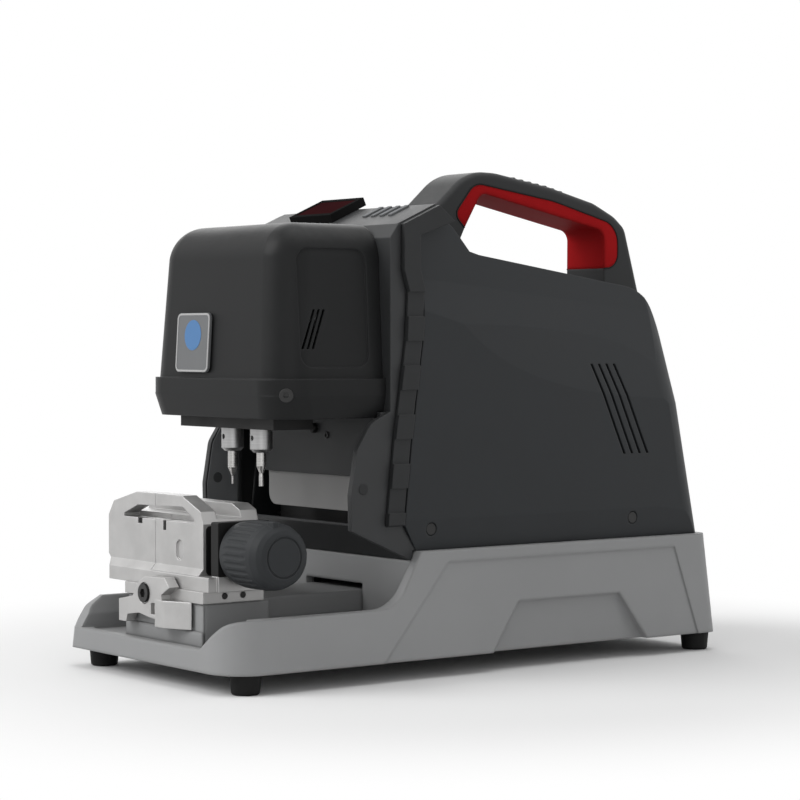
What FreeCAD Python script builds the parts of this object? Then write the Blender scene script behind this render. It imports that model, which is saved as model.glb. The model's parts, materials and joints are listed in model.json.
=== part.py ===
import FreeCAD, Part
import math
import os
from types import SimpleNamespace

import Sketcher

# Key duplicating machine, millimetres.
# Origin on the floor under the middle of the base, +X to the right seen from the front,
# +Y to the back, +Z up. The clamp and the head face -Y.

DRIVING_SIZES = {
    # base casting and feet
    "base_length": 390.0,
    "base_width": 190.0,
    "foot_height": 12.0,
    "foot_radius": 9.5,
    "foot_side_inset": 12.7,
    "foot_end_inset": 16.5,
    "seam_height": 78.0,
    "base_draft": 4.3,
    "front_left_radius": 6.0,
    "front_right_radius": 24.0,
    "rear_corner_radius": 11.0,
    "floor_thickness": 8.0,
    "tray_rim": 11.0,
    "tray_lip": 8.0,
    "lip_height": 25.0,
    "tray_floor_height": 23.5,
    "channel_slack": 1.5,
    "rim_height": 44.0,
    "swoop_run": 19.0,
    "swoop_radius": 24.0,
    "right_rim_fall": 25.0,
    "wall_end_lean": 8.0,
    "wall_end_ease": 12.0,
    "rim_slope_width": 5.0,
    "rim_slope_drop": 11.0,
    "rim_fall_radius": 6.0,
    "rim_shoulder_radius": 24.0,
    "tray_corner_radius": 10.0,
    "column_setback": 140.0,
    "cross_wall": 6.0,
    "cross_wall_drop": 6.0,
    "tub_wall": 15.0,
    "tunnel_width": 62.0,
    "tunnel_height": 34.0,
    "finger_recess_length": 131.0,
    "finger_recess_height": 31.0,
    "finger_recess_slope": 23.0,
    "finger_recess_depth": 7.0,
    # housing shell
    "cover_wall": 3.0,
    "housing_half_width": 86.5,
    "housing_foot_half_width": 84.5,
    "housing_band_height": 19.0,
    "shoulder_height": 238.0,
    "shoulder_rise": 12.0,
    "shoulder_inset": 2.5,
    "rear_shoulder_height": 165.0,
    "rear_shoulder_half_width": 80.0,
    "rear_top_half_width": 48.0,
    "housing_top": 272.0,
    "housing_rear_inset": 6.5,
    "rear_lean": 8.5,
    "rear_corner_low": 12.0,
    "rear_corner_mid": 28.0,
    "rear_corner_top": 42.0,
    "roof_front_height": 261.0,
    "roof_rear_height": 243.0,
    "roof_rear_radius": 34.0,
    "vent_length": 59.0,
    "vent_width": 2.2,
    "vent_pitch": 6.8,
    "vent_lean": 25.0,
    "vent_top": 192.0,
    "vent_from_rear": 96.0,
    # trim strips
    "strip_width": 13.5,
    "strip_thickness": 4.5,
    "strip_proud": 1.2,
    "strip_gap": 1.2,
    "notch_height": 15.0,
    "notch_depth": 1.6,
    # front cover
    "front_half_width": 84.0,
    "cheek_thickness": 4.0,
    "cheek_reach": 46.5,
    "chin_height": 92.0,
    "recess_depth": 21.5,
    "window_height": 31.0,
    "guard_height": 23.0,
    "guard_left": 47.0,
    "guard_thickness": 2.0,
    "guard_radius": 8.0,
    "slot_height": 58.0,
    "hood_front_height": 278.5,
    "hood_peak_height": 291.5,
    "hood_peak_setback": 18.0,
    # head
    "head_overhang": 92.5,
    "head_back_gap": 17.0,
    "head_half_width": 76.0,
    "head_bottom": 160.0,
    "head_top": 279.0,
    "head_wall": 3.0,
    "head_draft": 3.4,
    "head_corner_radius": 21.0,
    "head_top_radius": 23.0,
    "head_slot_pitch": 3.6,
    "head_slot_width": 1.8,
    "head_slot_lean": 9.0,
    "skirt_proud": 3.0,
    "skirt_low": 14.0,
    "skirt_high": 24.0,
    "skirt_draft": 13.0,
    "bottom_plate": 3.0,
    "label_width": 42.0,
    "label_height": 36.0,
    "label_thickness": 1.0,
    "label_low": 188.0,
    "label_from_middle": -20.0,
    # handle
    "handle_half_width": 19.5,
    "handle_top": 318.5,
    "handle_slip": 0.2,
    "handle_edge_radius": 4.5,
    "bracket_top": 236.0,
    "bracket_thickness": 6.0,
    # control panel
    "bezel_width": 46.0,
    "bezel_depth": 29.0,
    "bezel_rise": 5.5,
    "bezel_from_middle": -21.0,
    "bezel_from_front": 9.5,
    "bar_count": 4.0,
    "bar_width": 4.0,
    "bar_depth": 15.0,
    "bar_pitch": 9.0,
    "bar_left": 27.0,
    "bar_rise": 1.0,
    # rear connections
    "rear_panel_width": 90.0,
    "rear_panel_height": 44.0,
    "rear_panel_low": 92.0,
    "rear_panel_thickness": 8.0,
    "inlet_radius": 6.0,
    "socket_bore": 3.2,
    "switch_width": 14.0,
    "switch_height": 20.0,
    "switch_pin_radius": 1.5,
    # upright frame and electronics
    "frame_half_width": 70.0,
    "frame_thickness": 10.0,
    "frame_top": 262.0,
    "board_thickness": 1.6,
    # clamp carriage
    "rail_width": 9.0,
    "rail_height": 10.0,
    "rail_offset": 20.0,
    "slide_clearance": 0.3,
    "y_plate_low": 36.0,
    "y_plate_thickness": 6.0,
    "carriage_half_width": 29.5,
    "carriage_skirt": 3.0,
    "apron_half_width": 43.5,
    "y_travel": 38.0,
    "x_travel_left": 10.0,
    "x_travel_right": 20.0,
    "table_low": 50.0,
    "table_thickness": 7.0,
    "screw_radius": 3.0,
    "running_clearance": 0.05,
    # clamp
    "clamp_front_setback": 13.5,
    "clamp_depth": 44.0,
    "clamp_left": 74.5,
    "clamp_right": 37.5,
    "clamp_flange_right": 49.5,
    "flange_height": 9.0,
    "clamp_arch_height": 113.0,
    "clamp_ledge_height": 100.0,
    "clamp_wall": 10.5,
    "jaw_split": 17.3,
    "jaw_gap": 0.6,
    "jaw_travel": 6.0,
    "end_plate": 7.5,
    "knob_radius": 20.5,
    "knob_length": 43.0,
    "knob_height": 80.0,
    "flute_count": 28.0,
    "flute_radius": 1.8,
    "clamp_screw_radius": 4.0,
    "lock_bolt_radius": 7.0,
    # head slide and spindle
    "spindle_setback": 26.0,
    "spindle_offset": 16.3,
    "block_low": 153.0,
    "block_height": 47.0,
    "block_half_width": 53.0,
    "block_depth": 29.0,
    "z_rod_radius": 4.0,
    "z_rod_offset": 36.0,
    "z_rod_gap": 10.0,
    "z_frame_half": 50.0,
    "z_frame_low": 164.0,
    "z_frame_top": 250.0,
    "z_lug": 6.0,
    "shaft_radius": 4.0,
    "bearing_radius": 11.0,
    "bearing_width": 7.0,
    "pulley_radius": 9.0,
    "pulley_width": 12.0,
    "belt_thickness": 1.4,
    "motor_radius": 13.0,
    "motor_offset": 30.0,
    "holder_radius": 7.0,
    "holder_length": 15.0,
    "tool_shank_radius": 3.0,
    "tool_tip_height": 117.0,
}


class Size:
    """A length worked out from the sheet: the text of its expression and its present value."""

    def __init__(self, text, value):
        self.text = text
        self.value = float(value)

    def __add__(self, other):
        other = as_size(other)
        return Size(f"({self.text} + {other.text})", self.value + other.value)

    def __sub__(self, other):
        other = as_size(other)
        return Size(f"({self.text} - {other.text})", self.value - other.value)

    def __mul__(self, other):
        other = as_size(other)
        return Size(f"({self.text} * {other.text})", self.value * other.value)

    __rmul__ = __mul__

    def __truediv__(self, other):
        other = as_size(other)
        return Size(f"({self.text} / {other.text})", self.value / other.value)

    def __neg__(self):
        return Size(f"(0 - {self.text})", -self.value)

    __radd__ = __add__

    def __rsub__(self, other):
        return as_size(other) - self


def as_size(number):
    """Take a plain number or a Size and give a Size."""
    if isinstance(number, Size):
        return number
    return Size(repr(float(number)), number)


def make_sheet(doc):
    """Put the driving sizes into a sheet, one alias a row, and give them back as Sizes."""
    sheet = doc.addObject("Spreadsheet::Sheet", "Sizes")
    for row, (name, value) in enumerate(DRIVING_SIZES.items(), start=1):
        sheet.set(f"A{row}", name)
        sheet.set(f"B{row}", repr(value))
        sheet.setAlias(f"B{row}", name)
    doc.recompute()
    return SimpleNamespace(**{name: Size(f"Sizes.{name}", sheet.get(name)) for name in DRIVING_SIZES})


doc = FreeCAD.newDocument("KeyDuplicatingMachine")
S = make_sheet(doc)
NODES = []

TURN_TO = {
    "X": FreeCAD.Rotation(FreeCAD.Vector(0, 1, 0), 90),
    "Y": FreeCAD.Rotation(FreeCAD.Vector(1, 0, 0), -90),
    "Z": FreeCAD.Rotation(),
}
SKETCH_PLANE = {"X": "YZ_Plane", "Y": "XZ_Plane", "Z": "XY_Plane"}


def bind(thing, prop, size):
    """Tie one property of a document object to the sheet."""
    thing.setExpression(prop, as_size(size).text)


def put_at(thing, x, y, z):
    """Tie an object's place to the sheet."""
    bind(thing, "Placement.Base.x", x)
    bind(thing, "Placement.Base.y", y)
    bind(thing, "Placement.Base.z", z)


def node(thing, label):
    """Mark an object as one of the machine's named pieces."""
    thing.Label = label
    NODES.append(thing)
    return thing


def block(x, y, z):
    """A box between pairs of limits."""
    box = doc.addObject("Part::Box", "Block")
    for prop, (low, high) in zip(("Length", "Width", "Height"), (x, y, z)):
        bind(box, prop, as_size(high) - low)
    put_at(box, x[0], y[0], z[0])
    return box


def rod(axis, start, radius, length):
    """A round bar from its start point along +X, +Y or +Z."""
    bar = doc.addObject("Part::Cylinder", "Rod")
    bind(bar, "Radius", radius)
    bind(bar, "Height", length)
    bar.Placement = FreeCAD.Placement(FreeCAD.Vector(), TURN_TO[axis])
    put_at(bar, *start)
    return bar


def joined(base, *others):
    """One solid out of several that touch or overlap."""
    fuse = doc.addObject("Part::MultiFuse", "Joined")
    fuse.Shapes = [base, *others]
    fuse.Refine = True
    return fuse


def minus(base, *tools):
    """A solid with others cut out of it."""
    for tool in tools:
        cut = doc.addObject("Part::Cut", "Minus")
        cut.Base = base
        cut.Tool = tool
        cut.Refine = True
        base = cut
    return base


def overlap(base, other):
    """What two solids have in common."""
    both = doc.addObject("Part::Common", "Overlap")
    both.Base = base
    both.Tool = other
    both.Refine = True
    return both


def together(*pieces):
    """A group of separate solids."""
    group = doc.addObject("Part::Compound", "Group")
    group.Links = list(pieces)
    return group


def outline_sketch(body, plane, points):
    """A closed outline whose every corner is tied to the sheet."""
    sketch = body.newObject("Sketcher::SketchObject", "Outline")
    face = [origin for origin in body.Origin.OriginFeatures if origin.Role == plane][0]
    sketch.AttachmentSupport = [(face, "")]
    sketch.MapMode = "FlatFace"
    corners = [(as_size(across), as_size(up)) for across, up in points]
    places = [FreeCAD.Vector(across.value, up.value, 0) for across, up in corners]
    count = len(corners)
    for index in range(count):
        sketch.addGeometry(Part.LineSegment(places[index], places[(index + 1) % count]), False)
    for index in range(count):
        sketch.addConstraint(Sketcher.Constraint("Coincident", index, 2, (index + 1) % count, 1))
    for index, corner in enumerate(corners):
        for kind, size in zip(("DistanceX", "DistanceY"), corner):
            place = sketch.addConstraint(Sketcher.Constraint(kind, -1, 1, index, 1, size.value))
            sketch.setExpression(f"Constraints[{place}]", size.text)
    return sketch


def lengthwise_edges(shape, axis, place):
    """Names of the edges that run along an axis nearest to a corner of the outline."""
    names = []
    for index, edge in enumerate(shape.Edges, start=1):
        first, last = edge.Vertexes[0].Point, edge.Vertexes[-1].Point
        span = last - first
        if abs(getattr(span, axis.lower())) < 0.7 * span.Length or span.Length < 1e-6:
            continue
        ends = [first, last]
        flat = {"X": lambda p: (p.y, p.z), "Y": lambda p: (p.x, p.z), "Z": lambda p: (p.x, p.y)}[axis]
        gap = min(abs(flat(p)[0] - place[0]) + abs(flat(p)[1] - place[1]) for p in ends)
        if gap < 0.01:
            names.append(f"Edge{index}")
    return names


def prism(axis, points, low, high, rounds=(), taper=None, downward=False):
    """An outline carried along an axis; rounds lists (corner numbers, radius) to round off."""
    body = doc.addObject("PartDesign::Body", "Prism")
    sketch = outline_sketch(body, SKETCH_PLANE[axis], points)
    pad = body.newObject("PartDesign::Pad", "Pad")
    pad.Profile = sketch
    bind(pad, "Length", as_size(high) - low)
    if taper is not None:
        bind(pad, "TaperAngle", -as_size(taper))
    pad.Reversed = downward
    start = high if axis == "Y" or downward else low
    bind(body, f"Placement.Base.{axis.lower()}", start)
    doc.recompute()
    feature = pad
    for corners, radius in rounds:
        names = []
        for corner in corners:
            place = [as_size(value).value for value in points[corner]]
            names += lengthwise_edges(feature.Shape, axis, place)
        rounded = body.newObject("PartDesign::Fillet", "Round")
        rounded.Base = (feature, names)
        bind(rounded, "Radius", radius)
        doc.recompute()
        feature = rounded
    return body


def rounded_top(body, height, radius):
    """Round the edges of a prism that lie at one height."""
    doc.recompute()
    feature = body.Tip
    level = as_size(height).value - body.Placement.Base.z
    names = []
    for index, edge in enumerate(feature.Shape.Edges, start=1):
        if all(abs(vertex.Point.z - level) < 0.01 for vertex in edge.Vertexes):
            names.append(f"Edge{index}")
    rounding = body.newObject("PartDesign::Fillet", "TopRound")
    rounding.Base = (feature, names)
    bind(rounding, "Radius", radius)
    doc.recompute()
    return body


def rounded_ends(body, half, radius):
    """Round the edges of a prism along X that lie on its two end faces."""
    doc.recompute()
    feature = body.Tip
    names = []
    for index, edge in enumerate(feature.Shape.Edges, start=1):
        reach = [abs(vertex.Point.x + body.Placement.Base.x) for vertex in edge.Vertexes]
        level = [abs(vertex.Point.x - edge.Vertexes[0].Point.x) for vertex in edge.Vertexes]
        if max(level) < 0.01 and all(abs(value - plain(half)) < 0.01 for value in reach):
            names.append(f"Edge{index}")
    rounding = body.newObject("PartDesign::Fillet", "EndRound")
    rounding.Base = (feature, names)
    bind(rounding, "Radius", radius)
    doc.recompute()
    return body


def turned(axis, start, profile):
    """A turned piece: profile lists (radius, distance along the axis)."""
    body = doc.addObject("PartDesign::Body", "Turned")
    sketch = outline_sketch(body, "XZ_Plane", profile)
    spin = body.newObject("PartDesign::Revolution", "Spin")
    spin.Profile = sketch
    spin.ReferenceAxis = (sketch, ["V_Axis"])
    spin.Angle = 360
    body.Placement = FreeCAD.Placement(FreeCAD.Vector(), TURN_TO[axis])
    put_at(body, *start)
    return body


def mirrored_pair(make):
    """The same feature made for the right side and the left side."""
    return [make(1), make(-1)]


# Reference planes of the whole machine
HALF_WIDTH = S.base_width / 2
FRONT = -(S.base_length / 2)
REAR = S.base_length / 2
FLOOR = S.foot_height + S.floor_thickness
SEAM = S.seam_height
COLUMN = FRONT + S.column_setback
HOUSE_REAR = REAR - S.housing_rear_inset
HEAD_FRONT = COLUMN - S.head_overhang
HEAD_BACK = COLUMN - S.head_back_gap
SPINDLE_Y = HEAD_FRONT + S.spindle_setback
CLAMP_FRONT = FRONT + S.clamp_front_setback
CLAMP_BACK = CLAMP_FRONT + S.clamp_depth
BACK_WALL = COLUMN - S.recess_depth
CHIN_TOP = S.chin_height
LEDGE = S.head_bottom + 3.5
WALL_TOP = SEAM - S.cross_wall_drop
TABLE_FRONT = CLAMP_FRONT - 1.5
TABLE_TOP = S.table_low + S.table_thickness
CLAMP_SIDE = S.clamp_flange_right - 3.5
KNOB_Y = CLAMP_FRONT + 24
ABOVE = 20.0


def both_sides(low, high, sign):
    """Limits across X for the right side, or mirrored for the left."""
    if sign > 0:
        return (low, high)
    return (-as_size(high), -as_size(low))


# Base and feet

def base_block(narrower):
    """The drafted block that the casting is cut from, less a skin on each side."""
    half = HALF_WIDTH - narrower
    corners = [(-half, FRONT), (half, FRONT), (half, REAR), (-half, REAR)]
    rounds = [((0,), S.front_left_radius), ((1,), S.front_right_radius), ((2, 3), S.rear_corner_radius)]
    return prism("Z", corners, S.foot_height, SEAM, rounds, taper=S.base_draft)


def make_base():
    rim_line = [
        (COLUMN + 2, SEAM + ABOVE),
        (COLUMN + 2, SEAM),
        (COLUMN - S.swoop_run, S.rim_height),
        (FRONT - ABOVE, S.rim_height),
        (FRONT - ABOVE, SEAM + ABOVE),
    ]
    above_rim = prism("X", rim_line, -HALF_WIDTH - 1, HALF_WIDTH + 1, [((2,), S.swoop_radius)])
    tray_half = HALF_WIDTH - S.tray_rim
    lip_right = tray_half - S.right_rim_fall
    wide = HALF_WIDTH + ABOVE
    over = S.rim_height + ABOVE
    dip_line = [
        (-tray_half, S.lip_height),
        (lip_right, S.lip_height),
        (tray_half, S.rim_height),
        (wide, S.rim_height),
        (wide, over),
        (-tray_half, over),
    ]
    front_dip = prism("Y", dip_line, FRONT - ABOVE, FRONT + S.tray_lip + S.tray_corner_radius,
                      [((1,), S.rim_fall_radius), ((2,), S.rim_shoulder_radius)])
    # the left wall's front end leans back from the lip and rounds over to the rim
    lean_top = FRONT + 3 + S.wall_end_lean
    ease_end = lean_top + S.wall_end_ease
    end_line = [
        (FRONT - ABOVE, S.lip_height),
        (FRONT + 3, S.lip_height),
        (lean_top, S.rim_height - 6),
        (ease_end, S.rim_height + 1),
        (ease_end, over),
        (FRONT - ABOVE, over),
    ]
    wall_end = prism("X", end_line, -wide, -tray_half + 1, [((2,), 10.0)])
    # the left wall's inner face slopes out towards the rim
    slope_run = S.rim_slope_width / S.rim_slope_drop
    slope_fall = S.rim_slope_drop / S.rim_slope_width
    slope_line = [
        (-tray_half + 1, S.rim_height - S.rim_slope_drop - slope_fall),
        (-tray_half + 1, S.rim_height + 1),
        (-tray_half - S.rim_slope_width - slope_run, S.rim_height + 1),
    ]
    rim_slope = prism("Y", slope_line, FRONT - ABOVE, COLUMN - S.swoop_run - S.swoop_radius)
    tray = prism("Z", [(-tray_half, FRONT + S.tray_lip), (tray_half, FRONT + S.tray_lip),
                       (tray_half, COLUMN), (-tray_half, COLUMN)],
                 S.tray_floor_height, SEAM + ABOVE, [((0, 1), S.tray_corner_radius)])
    channel_half = S.apron_half_width + S.channel_slack
    channel = block((-channel_half, channel_half), (CLAMP_FRONT, COLUMN), (FLOOR, SEAM))
    tub_half = HALF_WIDTH - S.tub_wall
    tub = block((-tub_half, tub_half), (COLUMN + S.cross_wall, REAR - S.tub_wall),
                (FLOOR, SEAM + ABOVE))
    wall_notch = block((-tub_half - 0.5, tub_half + 0.5), (COLUMN - 1, COLUMN + S.cross_wall + 1),
                       (WALL_TOP, SEAM + ABOVE))
    tunnel = block((-S.tunnel_width / 2, S.tunnel_width / 2),
                   (COLUMN - 1, COLUMN + S.cross_wall + 1), (FLOOR, FLOOR + S.tunnel_height))

    def finger_recess(sign):
        low, high = S.foot_height - 1, S.foot_height + S.finger_recess_height
        start, end = as_size(0), S.finger_recess_length
        outline = [(start, low), (end, low), (end - S.finger_recess_slope, high),
                   (start + S.finger_recess_slope, high)]
        across = both_sides(HALF_WIDTH - S.finger_recess_depth, HALF_WIDTH + ABOVE, sign)
        return prism("X", outline, across[0], across[1])

    def side_panel(sign):
        low, high = S.foot_height - 1, SEAM - 7.5
        outline = [(COLUMN - 30, low), (HOUSE_REAR - 13, low), (HOUSE_REAR - 31, high), (COLUMN + 23, high)]
        across = both_sides(HALF_WIDTH - ABOVE, HALF_WIDTH + ABOVE, sign)
        return minus(prism("X", outline, across[0], across[1]), base_block(1.0))

    holes = [rod("Z", (x, y, S.foot_height - 1), 2.1, S.floor_thickness + 2) for x, y in foot_places()]
    casting = minus(base_block(0.0), above_rim, front_dip, wall_end, rim_slope, tray, channel, tub, wall_notch, tunnel,
                    *mirrored_pair(finger_recess), *mirrored_pair(side_panel), *holes)
    node(casting, "base_casting")


def foot_places():
    """Centres of the four feet."""
    side = HALF_WIDTH - S.foot_side_inset
    front, rear = FRONT + S.foot_end_inset + 2, REAR - S.foot_end_inset + 5
    return [(x, y) for x in (-side, side) for y in (front, rear)]


def make_feet():
    top = S.foot_height
    outer = S.foot_radius
    profile = [(2.2, top), (2.2, 6.0), (4.2, 6.0), (4.2, 0.0), (outer - 2, 0.0), (outer - 1, 1.0),
               (outer, top)]
    node(together(*[turned("Z", (x, y, 0), profile) for x, y in foot_places()]), "rubber_feet")
    head = 6.0
    screw = [(0, 3.5), (3.6, 3.5), (3.6, head), (2.0, head), (2.0, FLOOR - 1), (0, FLOOR - 1)]
    node(together(*[turned("Z", (x, y, 0), screw) for x, y in foot_places()]), "foot_screws")


# Housing shell

def front_edge():
    """The zigzag front edge of a side cover, from the seam up to the hood, as (y, z)."""
    return [
        (COLUMN + 2.4, SEAM),
        (COLUMN - 7.6, SEAM + 16.5),
        (COLUMN - 2, SEAM + 68),
        (COLUMN + 7, SEAM + 129.5),
        (COLUMN + 8.5, S.shoulder_height),
        (COLUMN + 4.7, S.shoulder_height + S.shoulder_rise),
        (COLUMN + 4.7, S.housing_top),
    ]


def hood_tail():
    """The back slope of the hood, from the peak side down to the roof, as (y, z)."""
    return [
        (COLUMN + 31.5, S.housing_top + 10),
        (COLUMN + 38.5, S.housing_top + 5),
        (COLUMN + 51, S.roof_front_height + 2),
        (COLUMN + 59, S.roof_front_height),
    ]


def numbers(points):
    """Present values of a list of (y, z) Sizes."""
    return [(as_size(across).value, as_size(up).value) for across, up in points]


def plain(size):
    """Present value of a Size."""
    return as_size(size).value


def inward(start, end):
    """Direction that points into a clockwise outline from one of its sides."""
    along_y, along_z = end[0] - start[0], end[1] - start[1]
    length = math.hypot(along_y, along_z)
    return along_z / length, -along_y / length


def inset_outline(points, inset):
    """Move every side of a clockwise outline inwards and meet the moved sides again."""
    moved = []
    for index, here in enumerate(points):
        before = points[index - 1]
        after = points[(index + 1) % len(points)]
        ay, az = inward(before, here)
        by, bz = inward(here, after)
        spread = 1 + ay * by + az * bz
        moved.append((here[0] + inset * (ay + by) / spread, here[1] + inset * (az + bz) / spread))
    return moved


LEAN_TOP = plain(S.rear_shoulder_height) + 25


def rear_wall(z):
    """Where the leaning rear wall stands along Y at some height."""
    rise = (z - plain(SEAM)) / (LEAN_TOP - plain(SEAM))
    return plain(HOUSE_REAR) - plain(S.rear_lean) * rise


def housing_profile(inset):
    """Side outline of the housing carried across X; an inset leaves its front and bottom open."""
    opening = 12.0 if inset else 0.0
    front = [(y - opening, z) for y, z in numbers(front_edge())]
    front[0] = (front[0][0], front[0][1] - opening)
    rear = plain(HOUSE_REAR)
    lean = plain(S.rear_lean)
    back = [(rear - lean - 26, plain(S.roof_rear_height) - 2), (rear - lean, LEAN_TOP),
            (rear_wall(plain(SEAM) - opening), plain(SEAM) - opening)]
    points = front + numbers(hood_tail()) + back
    bends = [len(points) - 3, len(points) - 2]
    if inset:
        points = inset_outline(points, inset)
    width = plain(HALF_WIDTH) + ABOVE
    vectors = [FreeCAD.Vector(-width, y, z) for y, z in points]
    solid = Part.Face(Part.makePolygon(vectors + [vectors[0]])).extrude(FreeCAD.Vector(2 * width, 0, 0))
    middles = [FreeCAD.Vector(0, *points[bend]) for bend in bends]
    edges = [edge for edge in solid.Edges for middle in middles if (edge.CenterOfMass - middle).Length < 0.01]
    return solid.makeFillet(plain(S.roof_rear_radius) - inset, edges)


def housing_widths(inset):
    """Solid that gives the housing its width: upright in front, leaning in towards the rear top."""
    seam, band = plain(SEAM), plain(SEAM + S.housing_band_height)
    half = plain(S.housing_half_width)
    foot = plain(S.housing_foot_half_width)
    shoulder, rise = plain(S.shoulder_height), plain(S.shoulder_rise)
    top = half - plain(S.shoulder_inset)
    rear_shoulder = plain(S.rear_shoulder_height)
    rear_half, rear_top = plain(S.rear_shoulder_half_width), plain(S.rear_top_half_width)
    ceiling = plain(S.housing_top) + ABOVE
    front = [(foot, seam - ABOVE), (foot, seam), (half, band), (half, shoulder), (top, shoulder + rise),
             (top, ceiling)]
    rear = [(foot, seam - ABOVE), (foot, seam), (half - 0.5, band), (rear_half, rear_shoulder),
            ((rear_half + rear_top) / 2, (rear_shoulder + ceiling - 10) / 2), (rear_top, ceiling)]

    def section(side, y):
        right = [FreeCAD.Vector(x - inset, y, z) for x, z in side]
        left = [FreeCAD.Vector(inset - x, y, z) for x, z in reversed(side)]
        return Part.makePolygon(right + left + [right[0]])

    near, far = plain(COLUMN) - 2 * ABOVE, plain(HOUSE_REAR) + 1
    return Part.makeLoft([section(front, near), section(rear, far)], True, True)


def housing_corners(inset):
    """Solid that rounds the rear upright corners, tight at the seam and wide at the top."""
    seam, top = plain(SEAM), plain(S.housing_top) + ABOVE
    middle = plain(S.rear_shoulder_height)
    half = plain(S.housing_half_width) + 1
    near = plain(COLUMN) - 2 * ABOVE
    lean = plain(S.rear_shoulder_half_width) + 1, plain(S.rear_top_half_width) + 1
    stations = [(seam - ABOVE, half, plain(S.rear_corner_low)), (middle, lean[0], plain(S.rear_corner_mid)),
                (top, lean[1], plain(S.rear_corner_top))]

    def mirror(point):
        return FreeCAD.Vector(-point.x, point.y, point.z)

    def section(z, rear_half, radius):
        start = FreeCAD.Vector(half + 4 - inset, near, z)
        corner = FreeCAD.Vector(rear_half - inset, rear_wall(z) - inset, z)
        along = (corner - start).normalize()
        turn = along.getAngle(FreeCAD.Vector(-1, 0, 0))
        inner = max(radius - inset, 1.0)
        reach = inner * math.tan(turn / 2)
        begin = corner - along * reach
        end = corner - FreeCAD.Vector(reach, 0, 0)
        inward = (begin + end - corner * 2).normalize()
        middle = corner + inward * (math.hypot(reach, inner) - inner)
        return Part.Wire([
            Part.makeLine(start, begin),
            Part.Arc(begin, middle, end).toShape(),
            Part.makeLine(end, mirror(end)),
            Part.Arc(mirror(end), mirror(middle), mirror(begin)).toShape(),
            Part.makeLine(mirror(begin), mirror(start)),
            Part.makeLine(mirror(start), start),
        ])

    return Part.makeLoft([section(*station) for station in stations], True, True)


def housing_solid(inset):
    """The housing's filled form, or its inside when an inset is given."""
    piece = doc.addObject("Part::Feature", "Housing")
    piece.Shape = housing_profile(inset).common(housing_widths(inset)).common(housing_corners(inset))
    return piece


def shared(distance):
    """A length on the handle that keeps its share of the housing's run."""
    return (REAR - COLUMN) * (distance / 250.0)


def along(distance):
    """A place along the handle, counted from the column."""
    return COLUMN + shared(distance)


def handle_outer():
    """Outer outline of the handle and its two legs, as (y, z)."""
    top = S.handle_top
    foot = S.bracket_top
    return [
        (along(46), foot),
        (along(46), top - 44.5),
        (along(95.5), top),
        (along(119), top - 0.5),
        (along(166), top - 8.2),
        (along(205), top - 17.7),
        (along(223.5), top - 26.2),
        (along(233), top - 34),
        (REAR - 4, top - 78.5),
        (REAR - 18, foot - 36),
        (REAR - 27, foot - 36),
        (REAR - 27, foot),
    ]


HANDLE_ROUNDS = [((2,), shared(36)), ((3, 4), shared(50)), ((5, 6), shared(24)), ((7,), 12.0)]


def grip_outer():
    """Outer outline of the grip lining, from its rear end round to its front end, as (y, z)."""
    top = S.handle_top
    return [
        (along(212.6), top - 62),
        (along(225), top - 62),
        (along(225), top - 32.5),
        (along(167), top - 17.5),
        (along(99.5), top - 7.7),
        (along(82.5), top - 29),
        (along(91), top - 37.5),
    ]


def grip_inner():
    """Inner outline of the grip lining, the finger opening, from its front end to its rear end."""
    top = S.handle_top
    return [
        (along(105), top - 13.9),
        (along(212.8), top - 36.2),
    ]


def grip_rounds(first):
    """Corner rounds of the grip's outer outline, whose first point has the number given."""
    radii = (10.0, 16.0, shared(60), 12.0, 6.0)
    return [((first + 1 + index,), radius) for index, radius in enumerate(radii)]


def handle_solid(half, edge_radius):
    """The handle with its two legs, its outer edges rounded, less the room for the grip and fingers."""
    opening_low = S.bracket_top - ABOVE
    gap = [(along(212.6), opening_low), *grip_outer(), (along(78), S.roof_front_height - 6),
           (along(78), opening_low)]
    outer = prism("X", handle_outer(), -half, half, HANDLE_ROUNDS)
    outer = rounded_ends(outer, half, edge_radius)
    return minus(outer, prism("X", gap, -half - 1, half + 1, grip_rounds(1)))


def make_handle():
    half = S.handle_half_width
    node(handle_solid(half, S.handle_edge_radius), "handle_frame")
    rounds = [*grip_rounds(0), ((7,), 7.0), ((8,), 8.0)]
    lining = prism("X", [*grip_outer(), *grip_inner()], -half, half, rounds)
    node(lining, "handle_grip")
    thick = S.bracket_thickness
    start = COLUMN + S.cross_wall + S.frame_thickness
    across = (-half + 2, half - 2)
    strip = block(across, (start, along(203)), (S.bracket_top - thick, S.bracket_top))
    foot = block(across, (start, start + thick), (S.bracket_top - 40, S.bracket_top - thick))
    node(joined(strip, foot), "handle_bracket")


def make_covers():
    shell = minus(housing_solid(0.0), housing_solid(plain(S.cover_wall)))
    legs = handle_solid(S.handle_half_width + S.handle_slip, S.handle_edge_radius - 1)
    panel_half = S.rear_panel_width / 2
    panel_high = S.rear_panel_low + S.rear_panel_height
    opening = block((-panel_half, panel_half), (HOUSE_REAR - 8, HOUSE_REAR + 5),
                    (S.rear_panel_low, panel_high))
    shell = minus(shell, legs, opening)
    wide = HALF_WIDTH + ABOVE
    for sign, label in ((1, "right_side_cover"), (-1, "left_side_cover")):
        across = both_sides(0, wide, sign)
        half = overlap(shell, block(across, (FRONT, REAR + ABOVE), (0, S.handle_top + ABOVE)))
        slots = [vent_slot(index, sign) for index in range(4)]
        holes = [rod("X", (cover_screw_start(sign, 8), y, z), 2.1, 12) for y, z in cover_screw_places()]
        rooms = [rod("X", (cover_screw_start(sign, 2.2), y, z), 4.2, 12) for y, z in cover_screw_places()]
        node(minus(half, *slots, *holes, *rooms), label)


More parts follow.
